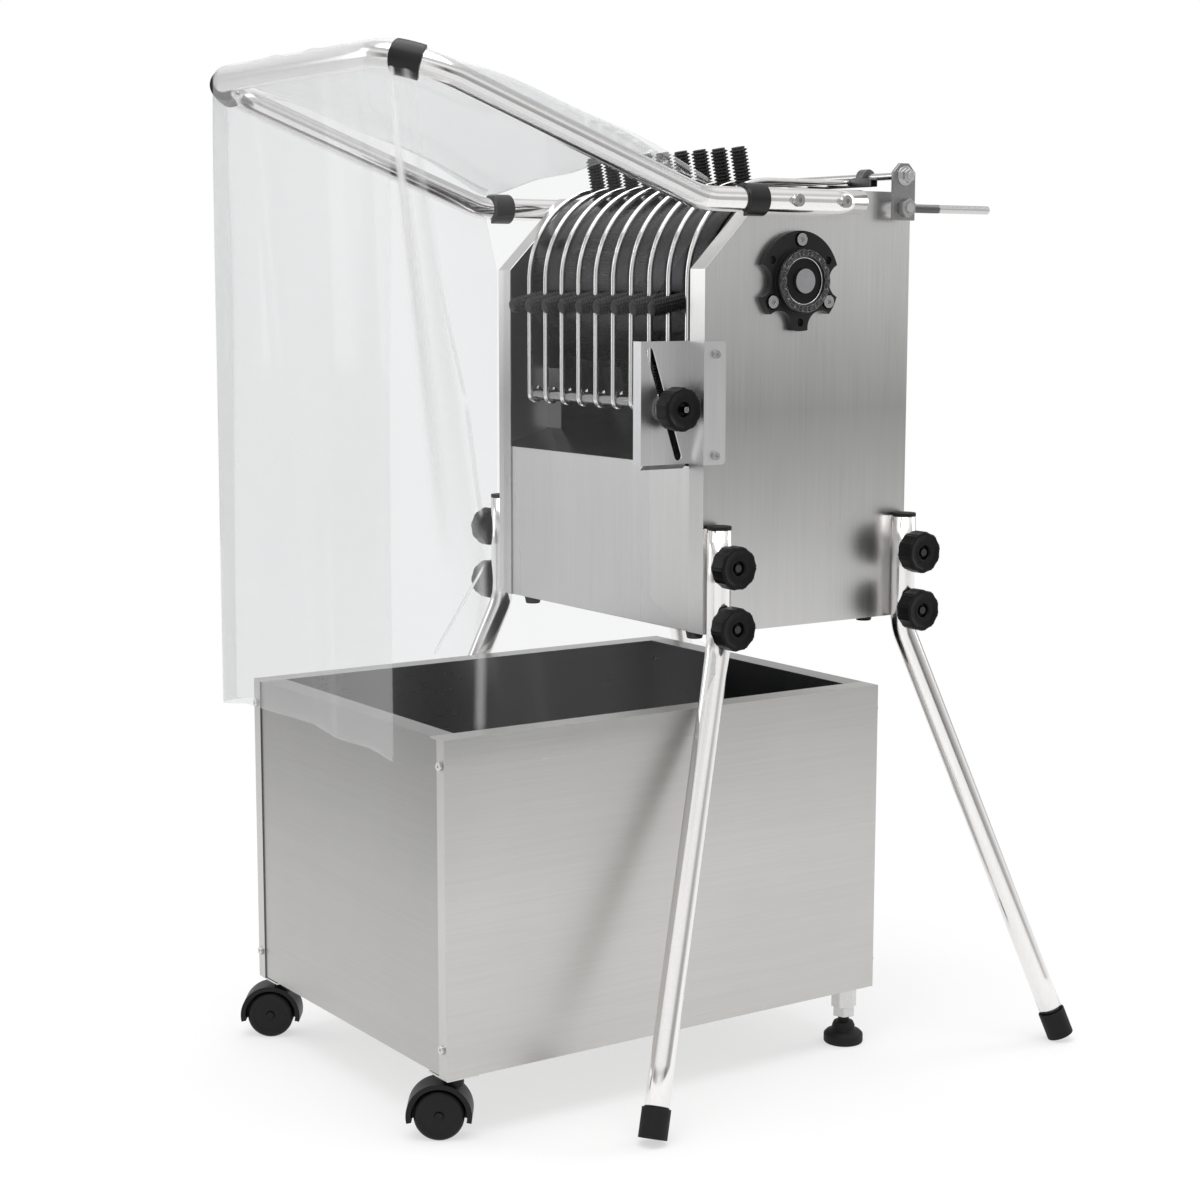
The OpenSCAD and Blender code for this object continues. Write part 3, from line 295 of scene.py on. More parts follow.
def dress(piece, material, body, slot, *nodes):
    """Gives a piece its finish and body, and hides the nodes that it stands for."""
    piece.data.materials.clear()
    piece.data.materials.append(material)
    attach(piece, body)
    if nodes:
        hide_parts(*nodes)
    return piece


sharp_angle = np.radians(32)
broad_face = 0.005


def eased(node, edge, material, slot, segments=2, fold=0.0):
    """A copy of a node's mesh with welded triangles, its sharp edges broken by a small round, and its folds,
    the edges between two broad faces, bent to a larger one."""
    shape = bmesh.new()
    shape.from_mesh(frame["nodes"][node].data)
    bmesh.ops.remove_doubles(shape, verts=shape.verts, dist=2e-6)
    bmesh.ops.dissolve_limit(shape, angle_limit=np.radians(0.6), verts=shape.verts, edges=shape.edges)
    widest = max(edge, fold)
    weight = shape.edges.layers.float.new("bevel_weight_edge")
    for line in shape.edges:
        if len(line.link_faces) == 2 and line.calc_face_angle() > sharp_angle:
            breadth = min(face.calc_area() for face in line.link_faces) / line.calc_length()
            line[weight] = 1.0 if fold and breadth > broad_face else edge / widest
    mesh = bpy.data.meshes.new(node + "_eased")
    shape.to_mesh(mesh)
    shape.free()
    mesh.polygons.foreach_set("use_smooth", np.ones(len(mesh.polygons), bool))
    piece = bpy.data.objects.new(node + "_eased", mesh)
    bpy.context.scene.collection.objects.link(piece)
    broken = piece.modifiers.new("broken_edges", "BEVEL")
    broken.width = widest
    broken.segments = segments
    broken.limit_method = "WEIGHT"
    shaded = piece.modifiers.new("flat_faces", "WEIGHTED_NORMAL")
    shaded.mode = "FACE_AREA"
    shaded.weight = 100
    return dress(piece, material, frame["nodes"][node]["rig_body"], slot, node)


upright = (700, 700, 9)
level_y = (700, 9, 700)
panel_low, panel_high = (corner.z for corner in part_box("side_panel_right"))
panel_mid = (panel_low + panel_high) / 2
brushed = metal("brushed_sheet", (0.59, 0.585, 0.58), 0.30, upright, depth=0.000004, patch=0.08)
# Painted reflection on the side panels: a lighter copy of the brushed sheet, with bands that are lighter at
# the foot and the top and darker across the middle.
side_painted_reflection = [(panel_low, 1.0), (panel_low + 0.06, 0.95), (panel_mid, 0.66), (panel_high - 0.1, 1.05),
              (panel_high, 1.25)]
side_sheet_painted_light = metal("side_sheet_painted_light", (0.62, 0.615, 0.61), 0.30, upright, depth=0.000004, patch=0.08,
                   painted_light_bands=side_painted_reflection)
inner_sheet = metal("inner_sheet", (0.42, 0.42, 0.43), 0.24, level_y, depth=0.000006, patch=0.12,
                    scratch=0.05)
for panel in ("side_panel_right", "side_panel_left"):
    eased(panel, 0.0005, side_sheet_painted_light, "brushed_sheet", 3, 0.0025)
for panel in ("front_panel", "rear_panel", "base_plate"):
    eased(panel, 0.0005, brushed, "brushed_sheet", 3, 0.0025)
for panel in ("feather_chute", "belt_cover"):
    eased(panel, 0.0004, inner_sheet, "brushed_sheet")


# Drive: a motor on the base with a belt up to the drum pulley, all behind the chute. Painted casing, turned
# alloy pulleys and a moulded rubber belt.
def coating(name, colour, rough, pebble, depth, vary=0.25, shine=0.18):
    """Paint, plastic or rubber with a fine pebbled skin, faint colour changes and rubbed patches."""
    material, place = blank(name)
    skin = noise(place, pebble, 3.0)
    cloud = noise(place, 9.0, 4.0)
    rubbed = noise(place, 34.0, 3.0).between(0.52, 0.75)
    base = mixed(cloud.between(0.3, 0.7), tint(colour, 1 - vary), tint(colour, 1 + vary))
    worn = mixed(rubbed * 0.35, base, tint(colour, 1.7))
    gloss = rough + (skin - 0.5) * 0.10 + (cloud - 0.5) * 0.16 + rubbed * 0.05
    bump = place.node("ShaderNodeBump", {}, {"Strength": 0.6, "Distance": depth, "Height": skin})
    shader = place.node("ShaderNodeBsdfPrincipled", {}, {
        "Base Color": worn, "Roughness": gloss.clamped(), "Normal": bump, "Specular IOR Level": shine})
    place.node("ShaderNodeOutputMaterial", {}, {"Surface": shader})
    return material


def repaint(node, material):
    """Gives a CAD node, whose shape is right, its finish."""
    slots = frame["nodes"][node].data.materials
    slots.clear()
    slots.append(material)


casing_paint = coating("casing_paint", (0.16, 0.18, 0.2), 0.45, 600, 0.0001)
turned_alloy = metal("turned_alloy", (0.6, 0.6, 0.61), 0.28, (900, 60, 60))
belt_rubber = coating("belt_rubber", (0.012, 0.012, 0.012), 0.7, 900, 0.0001)
repaint("motor", casing_paint)
repaint("motor_pulley", turned_alloy)
repaint("drum_pulley", turned_alloy)
repaint("drive_belt", belt_rubber)


# Finger drum: a rolled and polished shell on two discs and a shaft, with four rows of rubber fingers, ribbed
# and toothed all round, pushed through its holes from inside.
axis = (np.array(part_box("drum_shell")[0]) + np.array(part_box("drum_shell")[1])) / 2
drum_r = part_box("drum_shell")[1].z - axis[2]
# Painted shade: the stainless shell's near-black colour stands in for the shade inside the cabinet.
polished_drum_painted_shade = metal("polished_drum_painted_shade", (0.04, 0.04, 0.042), 0.26, (12, 500, 500), depth=0.000006, patch=0.14,
                      scratch=0.05)
bright_steel = metal("bright_steel", (0.62, 0.615, 0.61), 0.2, (30, 300, 300), patch=0.1)
finger_rubber = coating("finger_rubber", (0.008, 0.008, 0.0083), 0.5, 1500, 0.00008, shine=0.3)
repaint("drum_shell", polished_drum_painted_shade)
repaint("drum_discs", turned_alloy)
turned_shaft = metal("turned_shaft", (0.4, 0.4, 0.41), 0.28, (60, 300, 300), patch=0.2)
repaint("drum_shaft", turned_shaft)


def ribbed_finger(base, tip, radius, ribs, spikes, sides, steps=6):
    """Rows of points of a finger along Z: at height h and angle a the radius is R - rib(h) - tooth(a), with
    saw-toothed ribs nicked into spikes all round, a stepped nose and closed ends."""
    along = np.linspace(0, 1, ribs * steps + 1)[:, None]
    angle = np.linspace(0, 2 * np.pi, sides, endpoint=False)[None]
    ridge = np.clip(1.3 - 1.6 * np.abs(2 * np.mod(ribs * along, 1) - 1), 0, 1)
    tooth = 0.5 + 0.5 * np.cos(spikes * angle)
    body = radius - rib_depth * (1 - ridge) - tooth_depth * ridge * (1 - tooth)
    nose = np.stack([body[-1], body[-1] * 1.1, body[-1], 0 * body[-1] + nose_tip_r, 0 * body[-1]])
    foot = np.stack([0 * body[0], 0 * body[0] + radius * 0.8])
    r = np.concatenate([foot, body, nose])
    top = tip - nose_l
    z = np.concatenate([[base - finger_root, base - finger_root], base + (top - base) * along[:, 0],
                        [top + nose_l * share for share in (0.3, 0.5, 0.9, 1.0, 0.9)]])[:, None]
    return np.stack([r * np.cos(angle), r * np.sin(angle), z + 0 * angle], -1)


finger_r = 0.0095
finger_ribs = 13
finger_spikes = 13
rib_depth = 0.0029
tooth_depth = 0.0022
nose_l = 0.002
nose_tip_r = 0.0035
finger_root = 0.003
finger_lift = 0.0005
fingers = 9
finger_sides = 52
end_margin = 0.011
tip_r = 0.140
for row in range(1, 5):
    low, high = (np.array(corner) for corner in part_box(f"finger_row_{row}"))
    middle = ((low + high) / 2 - axis)[1:]
    out = middle / np.linalg.norm(middle)
    one = ribbed_finger(drum_r + finger_lift, tip_r, finger_r, finger_ribs, finger_spikes, finger_sides)
    rows = one.shape[0]
    side = np.array([0.0, -out[1], out[0]])
    upright_axis = np.array([0.0, out[0], out[1]])
    local = one.reshape(-1, 3)
    local = local[:, :1] * np.array([1.0, 0, 0]) + local[:, 1:2] * side + local[:, 2:] * upright_axis
    spots = np.linspace(low[0] + end_margin, high[0] - end_margin, fingers)
    shift = np.stack([spots, 0 * spots, 0 * spots], -1)
    verts = (local[None] + shift[:, None] + axis * np.array([0, 1, 1])).reshape(-1, 3)
    quads = grid_faces(rows, finger_sides, True)
    if np.linalg.det(np.stack([[1.0, 0, 0], side, upright_axis])) < 0:
        quads = quads[:, ::-1]
    faces = (quads[None] + (np.arange(fingers) * rows * finger_sides)[:, None, None]).reshape(-1, 4)
    row_piece = new_object(f"ribbed_fingers_{row}", verts, faces)
    dress(row_piece, finger_rubber, "drum", "black_rubber", f"finger_row_{row}")


# Bearings: a black moulded flange on each side panel, held by three of its six bolt holes, round a
# greased steel insert with a raised cage of windows.
moulded = coating("moulded_black", (0.009, 0.009, 0.0093), 0.34, 1300, 0.00004, shine=0.28)
eased("bearing_flanges", 0.0011, moulded, "black_plastic", 3)
seal_black = coating("seal_black", (0.008, 0.008, 0.008), 0.35, 700, 0.00005)
eased("bearing_inserts", 0.0006, seal_black, "bright_steel")
screw_steel = metal("screw_steel", (0.45, 0.445, 0.44), 0.25, (300, 300, 300), patch=0.15)
eased("cabinet_fasteners", 0.0006, screw_steel, "bright_steel")


def cage(windows, inner, outer, thick, sides=192, rows=14):
    """A raised ring with windows: it stands thick high along both edges and at the ribs between the windows,
    where cos(windows * angle) is high, and sinks in the windows."""
    angle = np.linspace(0, 2 * np.pi, sides, endpoint=False)[None]
    across = np.linspace(0, 1, rows)[:, None]
    rib = np.clip(np.cos(windows * angle) * 2.2 + 0.6, 0, 1)
    edge = np.clip(np.minimum(across, 1 - across) * 7, 0, 1)
    middle = np.clip(1.6 - np.abs(across - 0.5) * 4, 0, 1)
    up = thick * edge * (1 - 0.85 * (1 - rib) * middle)
    r = inner + (outer - inner) * across + 0 * angle
    return np.stack([up, r * np.cos(angle), r * np.sin(angle)], -1)


def carried(path, radius, across, sides=20, closed_ends=True):
    """A round section carried along a path; across is a direction that is never along the path."""
    path = np.asarray(path, float)
    along = np.gradient(path, axis=0)
    along /= np.linalg.norm(along, axis=1, keepdims=True)
    first = np.cross(along, across)
    first /= np.linalg.norm(first, axis=1, keepdims=True)
    second = np.cross(along, first)
    radius = np.broadcast_to(np.asarray(radius, float), len(path))
    angle = np.linspace(0, 2 * np.pi, sides, endpoint=False)
    ring = first[:, None] * np.cos(angle)[None, :, None] + second[:, None] * np.sin(angle)[None, :, None]
    verts = path[:, None] + ring * radius[:, None, None]
    if closed_ends:
        ends = [np.repeat(path[:1], sides, 0)[None], verts, np.repeat(path[-1:], sides, 0)[None]]
        verts = np.concatenate(ends)
    return verts


cage_black = coating("cage_black", (0.008, 0.008, 0.008), 0.2, 1300, 0.00002, shine=0.9)
flange_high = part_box("bearing_flanges")[1].x
cage_windows = 16
cage_inner_r = 0.0245
cage_outer_r = 0.0325
cage_rise = 0.0034
hoop_r = 0.0237
hoop_wire_r = 0.0007
hoop_sink = 0.0008
hoop_steps = 97
for side in (1, -1):
    cage_grid = cage(cage_windows, cage_inner_r, cage_outer_r, cage_rise)
    ring = cage_grid.reshape(-1, 3)
    ring = ring * np.array([side, 1, 1]) + axis * np.array([0, 1, 1]) + np.array([side * flange_high, 0, 0])
    quads = grid_faces(cage_grid.shape[0], cage_grid.shape[1], True)
    quads = quads if side < 0 else quads[:, ::-1]
    hand = "right" if side > 0 else "left"
    cage_piece = new_object("bearing_cage_" + hand, ring, quads)
    dress(cage_piece, cage_black, "machine", "black_plastic")
    hoop_turn = np.linspace(0, 2 * np.pi, hoop_steps)
    hoop_x = side * (flange_high - hoop_sink) + 0 * hoop_turn
    hoop = np.stack([hoop_x, axis[1] + hoop_r * np.cos(hoop_turn), axis[2] + hoop_r * np.sin(hoop_turn)], -1)
    hoop_verts = carried(hoop, hoop_wire_r, (1, 0, 0), 10, False)
    hoop_faces = grid_faces(hoop_steps, hoop_verts.shape[1], True)
    hoop_piece = new_object("bearing_ring_" + hand, hoop_verts.reshape(-1, 3), hoop_faces)
    dress(hoop_piece, bright_steel, "machine", "bright_steel")


# Guide bracket: polished folded sheet with a slanted slot, screwed to the right panel's edge. The guard's
# stud slides in the slot and is clamped by a knob.
mirror_sheet = metal("polished_sheet", (0.62, 0.62, 0.625), 0.32, (700, 700, 9), depth=0.000004, patch=0.1)
eased("guide_brackets", 0.0004, mirror_sheet, "polished_sheet", 3, 0.002)


# Guard: ten bright bars, each bent over the drum and rolled into an eye round the front rod, welded into
# a dark rear strip. Sleeves keep the eyes apart.
def arc_points(centre, u, v, radius, start, stop, steps):
    """Points on an arc about a centre in the plane of the unit vectors u and v, in degrees."""
    angle = np.radians(np.linspace(start, stop, steps))[:, None]
    return np.asarray(centre) + radius * (np.cos(angle) * np.asarray(u) + np.sin(angle) * np.asarray(v))


def straight_points(a, b, steps):
    return np.linspace(np.asarray(a, float), np.asarray(b, float), steps)


bar_chrome = metal("bar_chrome", (0.84, 0.83, 0.82), 0.16, (260, 260, 14), patch=0.07)
chrome = metal("chrome_tube", (0.88, 0.865, 0.855), 0.13, (900, 900, 14), depth=0.000004, patch=0.05)
bar_r = 0.003
bar_count = 10
bar_sides = 14
front_rod_r = 0.007
bars_low = np.array(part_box("guard_bars_left")[0])
bars_high = np.array(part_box("guard_bars_right")[1])
rod_high = np.array(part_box("guard_front_rod")[1])
rod_z = rod_high[2] - front_rod_r - axis[2]
guard_r = bars_high[2] - bar_r - axis[2]
rod_y = rod_high[1] - front_rod_r - axis[1]
eye_r = guard_r + rod_y
bar_rear = bars_high[1] - axis[1]
toward_rear = np.array([0.0, 1, 0])
upward = np.array([0.0, 0, 1])
bar_tail = 0.004
arc_step = 0.004
eye_step = 0.002
bar_path = np.concatenate([
    straight_points((0, bar_rear + bar_tail, guard_r), (0, arc_step, guard_r), 8),
    arc_points((0, 0, 0), toward_rear, upward, guard_r, 90, 180, 36),
    straight_points((0, -guard_r, -arc_step), (0, -guard_r, rod_z + eye_step), 10),
    arc_points((0, rod_y, rod_z), toward_rear, upward, eye_r, 180, 435, 44)])
one_bar = carried(bar_path, bar_r, (1, 0, 0), bar_sides)
bar_rows = one_bar.shape[0]
bar_spots = np.linspace(bars_low[0] + bar_r, bars_high[0] - bar_r, bar_count)
for name, first, last in (("left", 0, 3), ("middle", 3, 7), ("right", 7, 10)):
    spots = bar_spots[first:last]
    shift = np.stack([spots, 0 * spots + axis[1], 0 * spots + axis[2]], -1)
    verts = (one_bar.reshape(-1, 3)[None] + shift[:, None]).reshape(-1, 3)
    quads = grid_faces(bar_rows, bar_sides, True)
    faces = (quads[None] + (np.arange(len(spots)) * bar_rows * bar_sides)[:, None, None]).reshape(-1, 4)
    bars_piece = new_object(f"bent_bars_{name}", verts, faces)
    dress(bars_piece, bar_chrome, "guard", "chrome_tube", f"guard_bars_{name}")
grey_steel = metal("grey_steel", (0.3, 0.3, 0.305), 0.34, (60, 300, 300), patch=0.14)
dark_strip = metal("dark_strip", (0.14, 0.14, 0.145), 0.4, (40, 300, 300), patch=0.14)
eased("guard_rear_strip", 0.0007, dark_strip, "grey_steel")
sleeve_steel = metal("sleeve_steel", (0.3, 0.295, 0.29), 0.12, (60, 300, 300), patch=0.14)
eased("guard_front_rod", 0.0006, sleeve_steel, "bright_steel")
eased("guard_spacers", 0.0006, sleeve_steel, "chrome_tube")


# Swing links: flat zinc-plated bars on pivot posts, which carry the rear rod. Rest rods with a threaded
# root and a bright grip are screwed into the posts.
eased("link_plates", 0.0006, grey_steel, "grey_steel")
eased("rear_rod", 0.0005, bright_steel, "bright_steel")
eased("pivot_posts", 0.0006, bright_steel, "bright_steel")
thread_pitch = 0.00125
thread_r = 0.004
thread_proud = 0.0003
thread_depth = 0.0006
thread_sink = 0.0005
post_low, post_high = (np.array(corner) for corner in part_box("pivot_posts"))
rod_end = post_high[1]
grip_l = 0.071
thread_l = 0.047
rest_stand_off = 0.0058
rest_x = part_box("side_panel_right")[1].x + rest_stand_off
rest_z = (post_low[2] + post_high[2]) / 2


def screw_thread(radius, depth, pitch, length, sides=24, per_turn=5):
    """A threaded rod along Y: radius + depth * (|2 frac(y / pitch - angle / 360) - 1| - 1/2)."""
    rows = int(length / pitch * per_turn)
    y = np.linspace(0, length, rows)[:, None]
    angle = np.linspace(0, 2 * np.pi, sides, endpoint=False)[None]
    phase = np.mod(y / pitch - angle / (2 * np.pi), 1)
    r = radius + depth * (np.abs(2 * phase - 1) - 0.5)
    r[[0, -1]] = radius - depth
    return np.stack([r * np.cos(angle), y + 0 * angle, r * np.sin(angle)], -1)


for side in (1, -1):
    thread = screw_thread(thread_r + thread_proud, thread_depth, thread_pitch, thread_l)
    thread_start = rod_end - grip_l - thread_l - thread_sink
    verts = thread.reshape(-1, 3) + np.array([side * rest_x, thread_start, rest_z])
    thread_piece = new_object("rest_thread_right" if side > 0 else "rest_thread_left", verts,
                              grid_faces(thread.shape[0], thread.shape[1], True)[:, ::-1])
    dress(thread_piece, dark_strip, "machine", "grey_steel")


# Clamp knobs: moulded ten-sided knobs with a small notch at each corner, a flat face and a recess
# round the end of the stud.
knob_rubber = coating("knob_black", (0.005, 0.005, 0.0052), 0.4, 1100, 0.00006, shine=0.14)


def knob_shape(radius, thick, lobes=10, sides=160):
    """A ten-sided knob along X: its profile turned, with the radius times (cos(180 / n) / cos(angle)) ^ 1.6
    on the flats, less a small notch at the corners. The middle stays round."""
    angle = np.linspace(0, 2 * np.pi, sides, endpoint=False)[None]
    phase = np.mod(angle * lobes / (2 * np.pi), 1) - 0.5
    outline = (np.cos(np.pi / lobes) / np.cos(phase * 2 * np.pi / lobes)) ** 1.6
    notch = np.exp(-((np.abs(phase) - 0.5) / 0.06) ** 2)
    outline = outline * (1 - 0.06 * notch)
    edge = np.radians(np.linspace(0, 90, 5))
    soft = 0.0022
    round_r = 0.012
    blend_w = 0.009
    rim = [[radius - soft * (1 - np.sin(a)), soft * (1 - np.cos(a))] for a in edge]
    face = [[radius - soft * (1 - np.cos(a)), thick - soft * (1 - np.sin(a))] for a in edge]
    dish = [[0.0185, thick - 0.0002], [0.0178, thick - 0.0008], [0.0105, thick - 0.0010],
            [0.0088, thick - 0.0006], [0.0078, thick - 0.0012], [0.0073, thick - 0.0035],
            [0.0072, thick - 0.0068], [0.0066, thick - 0.0072], [0.0, thick - 0.0072]]
    profile = np.array([[0.0, 0.0], [radius * 0.6, 0.0]] + rim + face + dish)
    share = np.clip((profile[:, :1] - round_r) / blend_w, 0, 1)
    r = profile[:, :1] * (1 - share + share * outline)
    return np.stack([profile[:, 1:] + 0 * angle, r * np.cos(angle), r * np.sin(angle)], -1)


knob_r = 0.023
knob_t = 0.020
knob_turn = 7.0
knobs = [f"leg_knob_{i}" for i in range(1, 9)] + ["guard_knob_right"]
for turn, node in enumerate(knobs):
    low, high = (np.array(corner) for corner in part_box(node))
    side = np.sign(low[0])
    shape = knob_shape(knob_r, knob_t)
    spin = np.radians(knob_turn * turn)
    flat = shape.reshape(-1, 3)
    y = flat[:, 1] * np.cos(spin) - flat[:, 2] * np.sin(spin)
    z = flat[:, 1] * np.sin(spin) + flat[:, 2] * np.cos(spin)
    base = low[0] if side > 0 else high[0]
    verts = np.stack([base + side * flat[:, 0], (low[1] + high[1]) / 2 + y, (low[2] + high[2]) / 2 + z], -1)
    quads = grid_faces(shape.shape[0], shape.shape[1], True)
    quads = quads if side < 0 else quads[:, ::-1]
    knob_piece = new_object(node + "_moulded", verts, quads)
    dress(knob_piece, knob_rubber, frame["nodes"][node]["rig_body"], "black_plastic", node)
# Painted shade: the leg studs' near-black steel stands in for the shade in the knobs' recesses.
stud_painted_shade = metal("stud_painted_shade", (0.06, 0.06, 0.06), 0.4, (300, 300, 300), patch=0.1)
eased("leg_studs", 0.0005, stud_painted_shade, "bright_steel")


# Hood: one polished tube bent up from the panels and round the front, bolted along both sides, with four
# black snap-on clips that hold the film.
tube_r = 0.0125
hood_low, hood_high = (np.array(corner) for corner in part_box("hood_tube"))
arm_x = hood_high[0] - tube_r
cab_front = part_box("side_panel_right")[0].y
arm_rise = np.radians(20.3)
corner_r = 0.060
bend_r = 0.080
arm_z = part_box("side_panel_right")[1].z - tube_r
front_y = hood_low[1] + tube_r
bend_ahead = 0.131
bend_y = axis[1] - bend_ahead


def filleted(corners, radii, step=0.03):
    """A path through corners whose bends are arcs: the arc of radius R starts R tan(turn / 2) before a
    corner."""
    corners = [np.asarray(corner, float) for corner in corners]
    points = [corners[0][None]]
    for before, at, after, radius in zip(corners, corners[1:], corners[2:], radii):
        into = (at - before) / np.linalg.norm(at - before)
        away = (after - at) / np.linalg.norm(after - at)
        turn = np.arccos(np.clip(into @ away, -1, 1))
        reach = radius * np.tan(turn / 2)
        inward = (away - into * np.cos(turn)) / np.sin(turn)
        centre = at - into * reach + inward * radius
        steps = max(6, int(np.degrees(turn) / 4))
        sweep = arc_points(centre, -inward, into, radius, 0, np.degrees(turn), steps)
        start = points[-1][-1]
        run_steps = max(3, int(np.linalg.norm(sweep[0] - start) / step))
        points += [np.linspace(start, sweep[0], run_steps)[1:-1], sweep]
    points.append(np.linspace(points[-1][-1], corners[-1], 8)[1:])
    return np.concatenate(points)


front_z = arm_z + (bend_y - front_y) * np.tan(arm_rise)
hood_corners = [(arm_x, hood_high[1], arm_z), (arm_x, bend_y, arm_z), (arm_x, front_y, front_z),
                (-arm_x, front_y, front_z), (-arm_x, bend_y, arm_z), (-arm_x, hood_high[1], arm_z)]
hood_path = filleted(hood_corners, [bend_r, corner_r, corner_r, bend_r])
hood_up = (0, np.sin(arm_rise), np.cos(arm_rise))
hood_verts = carried(hood_path, tube_r, hood_up, 40)
hood_faces = grid_faces(hood_verts.shape[0], hood_verts.shape[1], True)
hood = new_object("hood_bent_tube", hood_verts.reshape(-1, 3), hood_faces)
dress(hood, chrome, "machine", "chrome_tube", "hood_tube")

# The far rear clip opens outward, so that a closed ring faces the viewer.
clips = eased("curtain_clips", 0.0007, moulded, "black_plastic", 3)
clip_split = -0.2
turned = bmesh.new()
turned.from_mesh(clips.data)
far_verts = [vert for vert in turned.verts if vert.co.x < 0 and vert.co.y > clip_split]
far_faces = {face for vert in far_verts for face in vert.link_faces}
for vert in far_verts:
    vert.co.x = -2 * arm_x - vert.co.x
bmesh.ops.reverse_faces(turned, faces=list(far_faces))
turned.to_mesh(clips.data)
turned.free()


# Legs: polished tube bent once, clamped to the panels by two knobs each, with a black plug on top and a
# rubber foot. Bumpers sit under the cabinet.
leg_x = arm_x
leg_lean = np.radians(22)
leg_turn = np.radians(56)
leg_bend = 0.060
leg_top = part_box("legs")[1].z
leg_run = 0.107
foot_reach = 0.0082
leg_inset = 0.011
cab_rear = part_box("side_panel_right")[1].y
for side in (1, -1):
    for name, y, away in (("front", cab_front + leg_inset, -1), ("rear", cab_rear - leg_inset, 1)):
        top = np.array([side * leg_x, y, leg_top])
        knee = top - upward * (leg_run + leg_bend * np.tan(leg_lean / 2))
        out = np.array([side * np.cos(leg_turn), away * np.sin(leg_turn), 0])
        slope = out * np.sin(leg_lean) - upward * np.cos(leg_lean)
        foot = knee + slope * (knee[2] - foot_reach) / np.cos(leg_lean)
        path = filleted([top, knee, foot], [leg_bend])
        verts = carried(path, tube_r, np.cross(out, upward), 36)
        leg = new_object(f"leg_{name}_{'right' if side > 0 else 'left'}", verts.reshape(-1, 3),
                         grid_faces(verts.shape[0], verts.shape[1], True))
        dress(leg, chrome, "machine", "chrome_tube", "legs")
foot_rubber = coating("foot_rubber", (0.012, 0.012, 0.012), 0.6, 900, 0.0001)
eased("rubber_feet", 0.0010, foot_rubber, "black_rubber", 3)


# Tub: satin sheet folded at the corners and screwed, with a turned-in rim, on two twin-wheel casters in
# front and two levelling feet at the back.
level_x = (9, 700, 700)
tub_low, tub_high = (np.array(corner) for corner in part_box("tub_sides"))
tub_middle = (tub_low + tub_high) / 2
# Painted reflection and shade on the tub: the sides and floor get darker towards the rim, and the ends are a
# darker copy of the same sheet, darker still towards the rim.
tub_side_painted_reflection = [(tub_low[2], 0.97), (tub_middle[2], 1.0), (tub_high[2] - 0.08, 0.92), (tub_high[2], 0.8)]
tub_end_painted_shade = [(tub_low[2], 0.95), (tub_middle[2], 0.83), (tub_high[2], 0.56)]
tub_sheet = metal("tub_sheet", (0.58, 0.57, 0.555), 0.36, level_y, patch=0.08, painted_light_bands=tub_side_painted_reflection)
tub_end_sheet_painted_shade = metal("tub_end_sheet_painted_shade", (0.5, 0.495, 0.485), 0.34, level_x, patch=0.08, painted_light_bands=tub_end_painted_shade)
# Painted shade inside the tub: a much darker copy of the tub's steel for the faces that look inward.
tub_inside_painted_shade = metal("tub_inside_painted_shade", (0.2, 0.203, 0.21), 0.3, (300, 60, 300), depth=0.000001, patch=0.1)


def paint_inside_shade(piece, inside_shade_finish):
    """Paints shade on the faces that look into the tub: they take a much darker copy of the same steel as
    their second material.
    """
    piece.data.materials.append(inside_shade_finish)
    for face in piece.data.polygons:
        inward = np.array(tub_middle) - np.array(face.center)
        inward[2] = max(inward[2], 0)
        wall = np.dot(np.array(face.normal), inward) > 0.05 and abs(face.normal.z) < 0.5
        bottom = face.normal.z > 0.9 and face.center.z < tub_middle[2]
        face.material_index = int(wall or bottom)


for panel, finish in (("tub_sides", tub_sheet), ("tub_ends", tub_end_sheet_painted_shade), ("tub_floor", tub_sheet)):
    paint_inside_shade(eased(panel, 0.0005, finish, "brushed_sheet", 3, 0.002), tub_inside_painted_shade)
eased("tub_hardware", 0.0006, bright_steel, "bright_steel")
caster_black = coating("caster_black", (0.008, 0.008, 0.0083), 0.42, 1200, 0.00004, shine=0.22)
for name in ("right", "left"):
    eased(f"caster_fork_{name}", 0.0014, caster_black, "black_plastic", 3)
    eased(f"caster_wheels_{name}", 0.0009, caster_black, "black_plastic", 3)
    eased(f"levelling_foot_{name}", 0.0009, foot_rubber, "black_rubber", 3)


# Curtain: thin clear film laid over the hood and hung down its front and sides to the tub, gripped by the
# clips. It falls in soft folds that fan out from the clips.
def painted_glint_line(place, start, end, width):
    """A painted glint along a straight line on the near side, from 0 to 1, between two places (y, z): it is
    1 on the line, fades to 0 at its width, and thins out at both ends."""
    run_y, run_z = end[0] - start[0], end[1] - start[1]
    length = float(np.hypot(run_y, run_z))
    side = place.node("ShaderNodeSeparateXYZ", {}, {0: place}, out="X").between(0.17, 0.18)
    off_y = place.node("ShaderNodeSeparateXYZ", {}, {0: place}, out="Y") - start[0]
    off_z = place.node("ShaderNodeSeparateXYZ", {}, {0: place}, out="Z") - start[1]
    along = (off_y * run_y + off_z * run_z) * (1 / length ** 2)
    apart = place.math("ABSOLUTE", off_y * run_z - off_z * run_y) * (1 / length)
    return side * (1 - apart.between(0, width)) * along.between(0, 0.15) * (1 - along.between(0.9, 1))


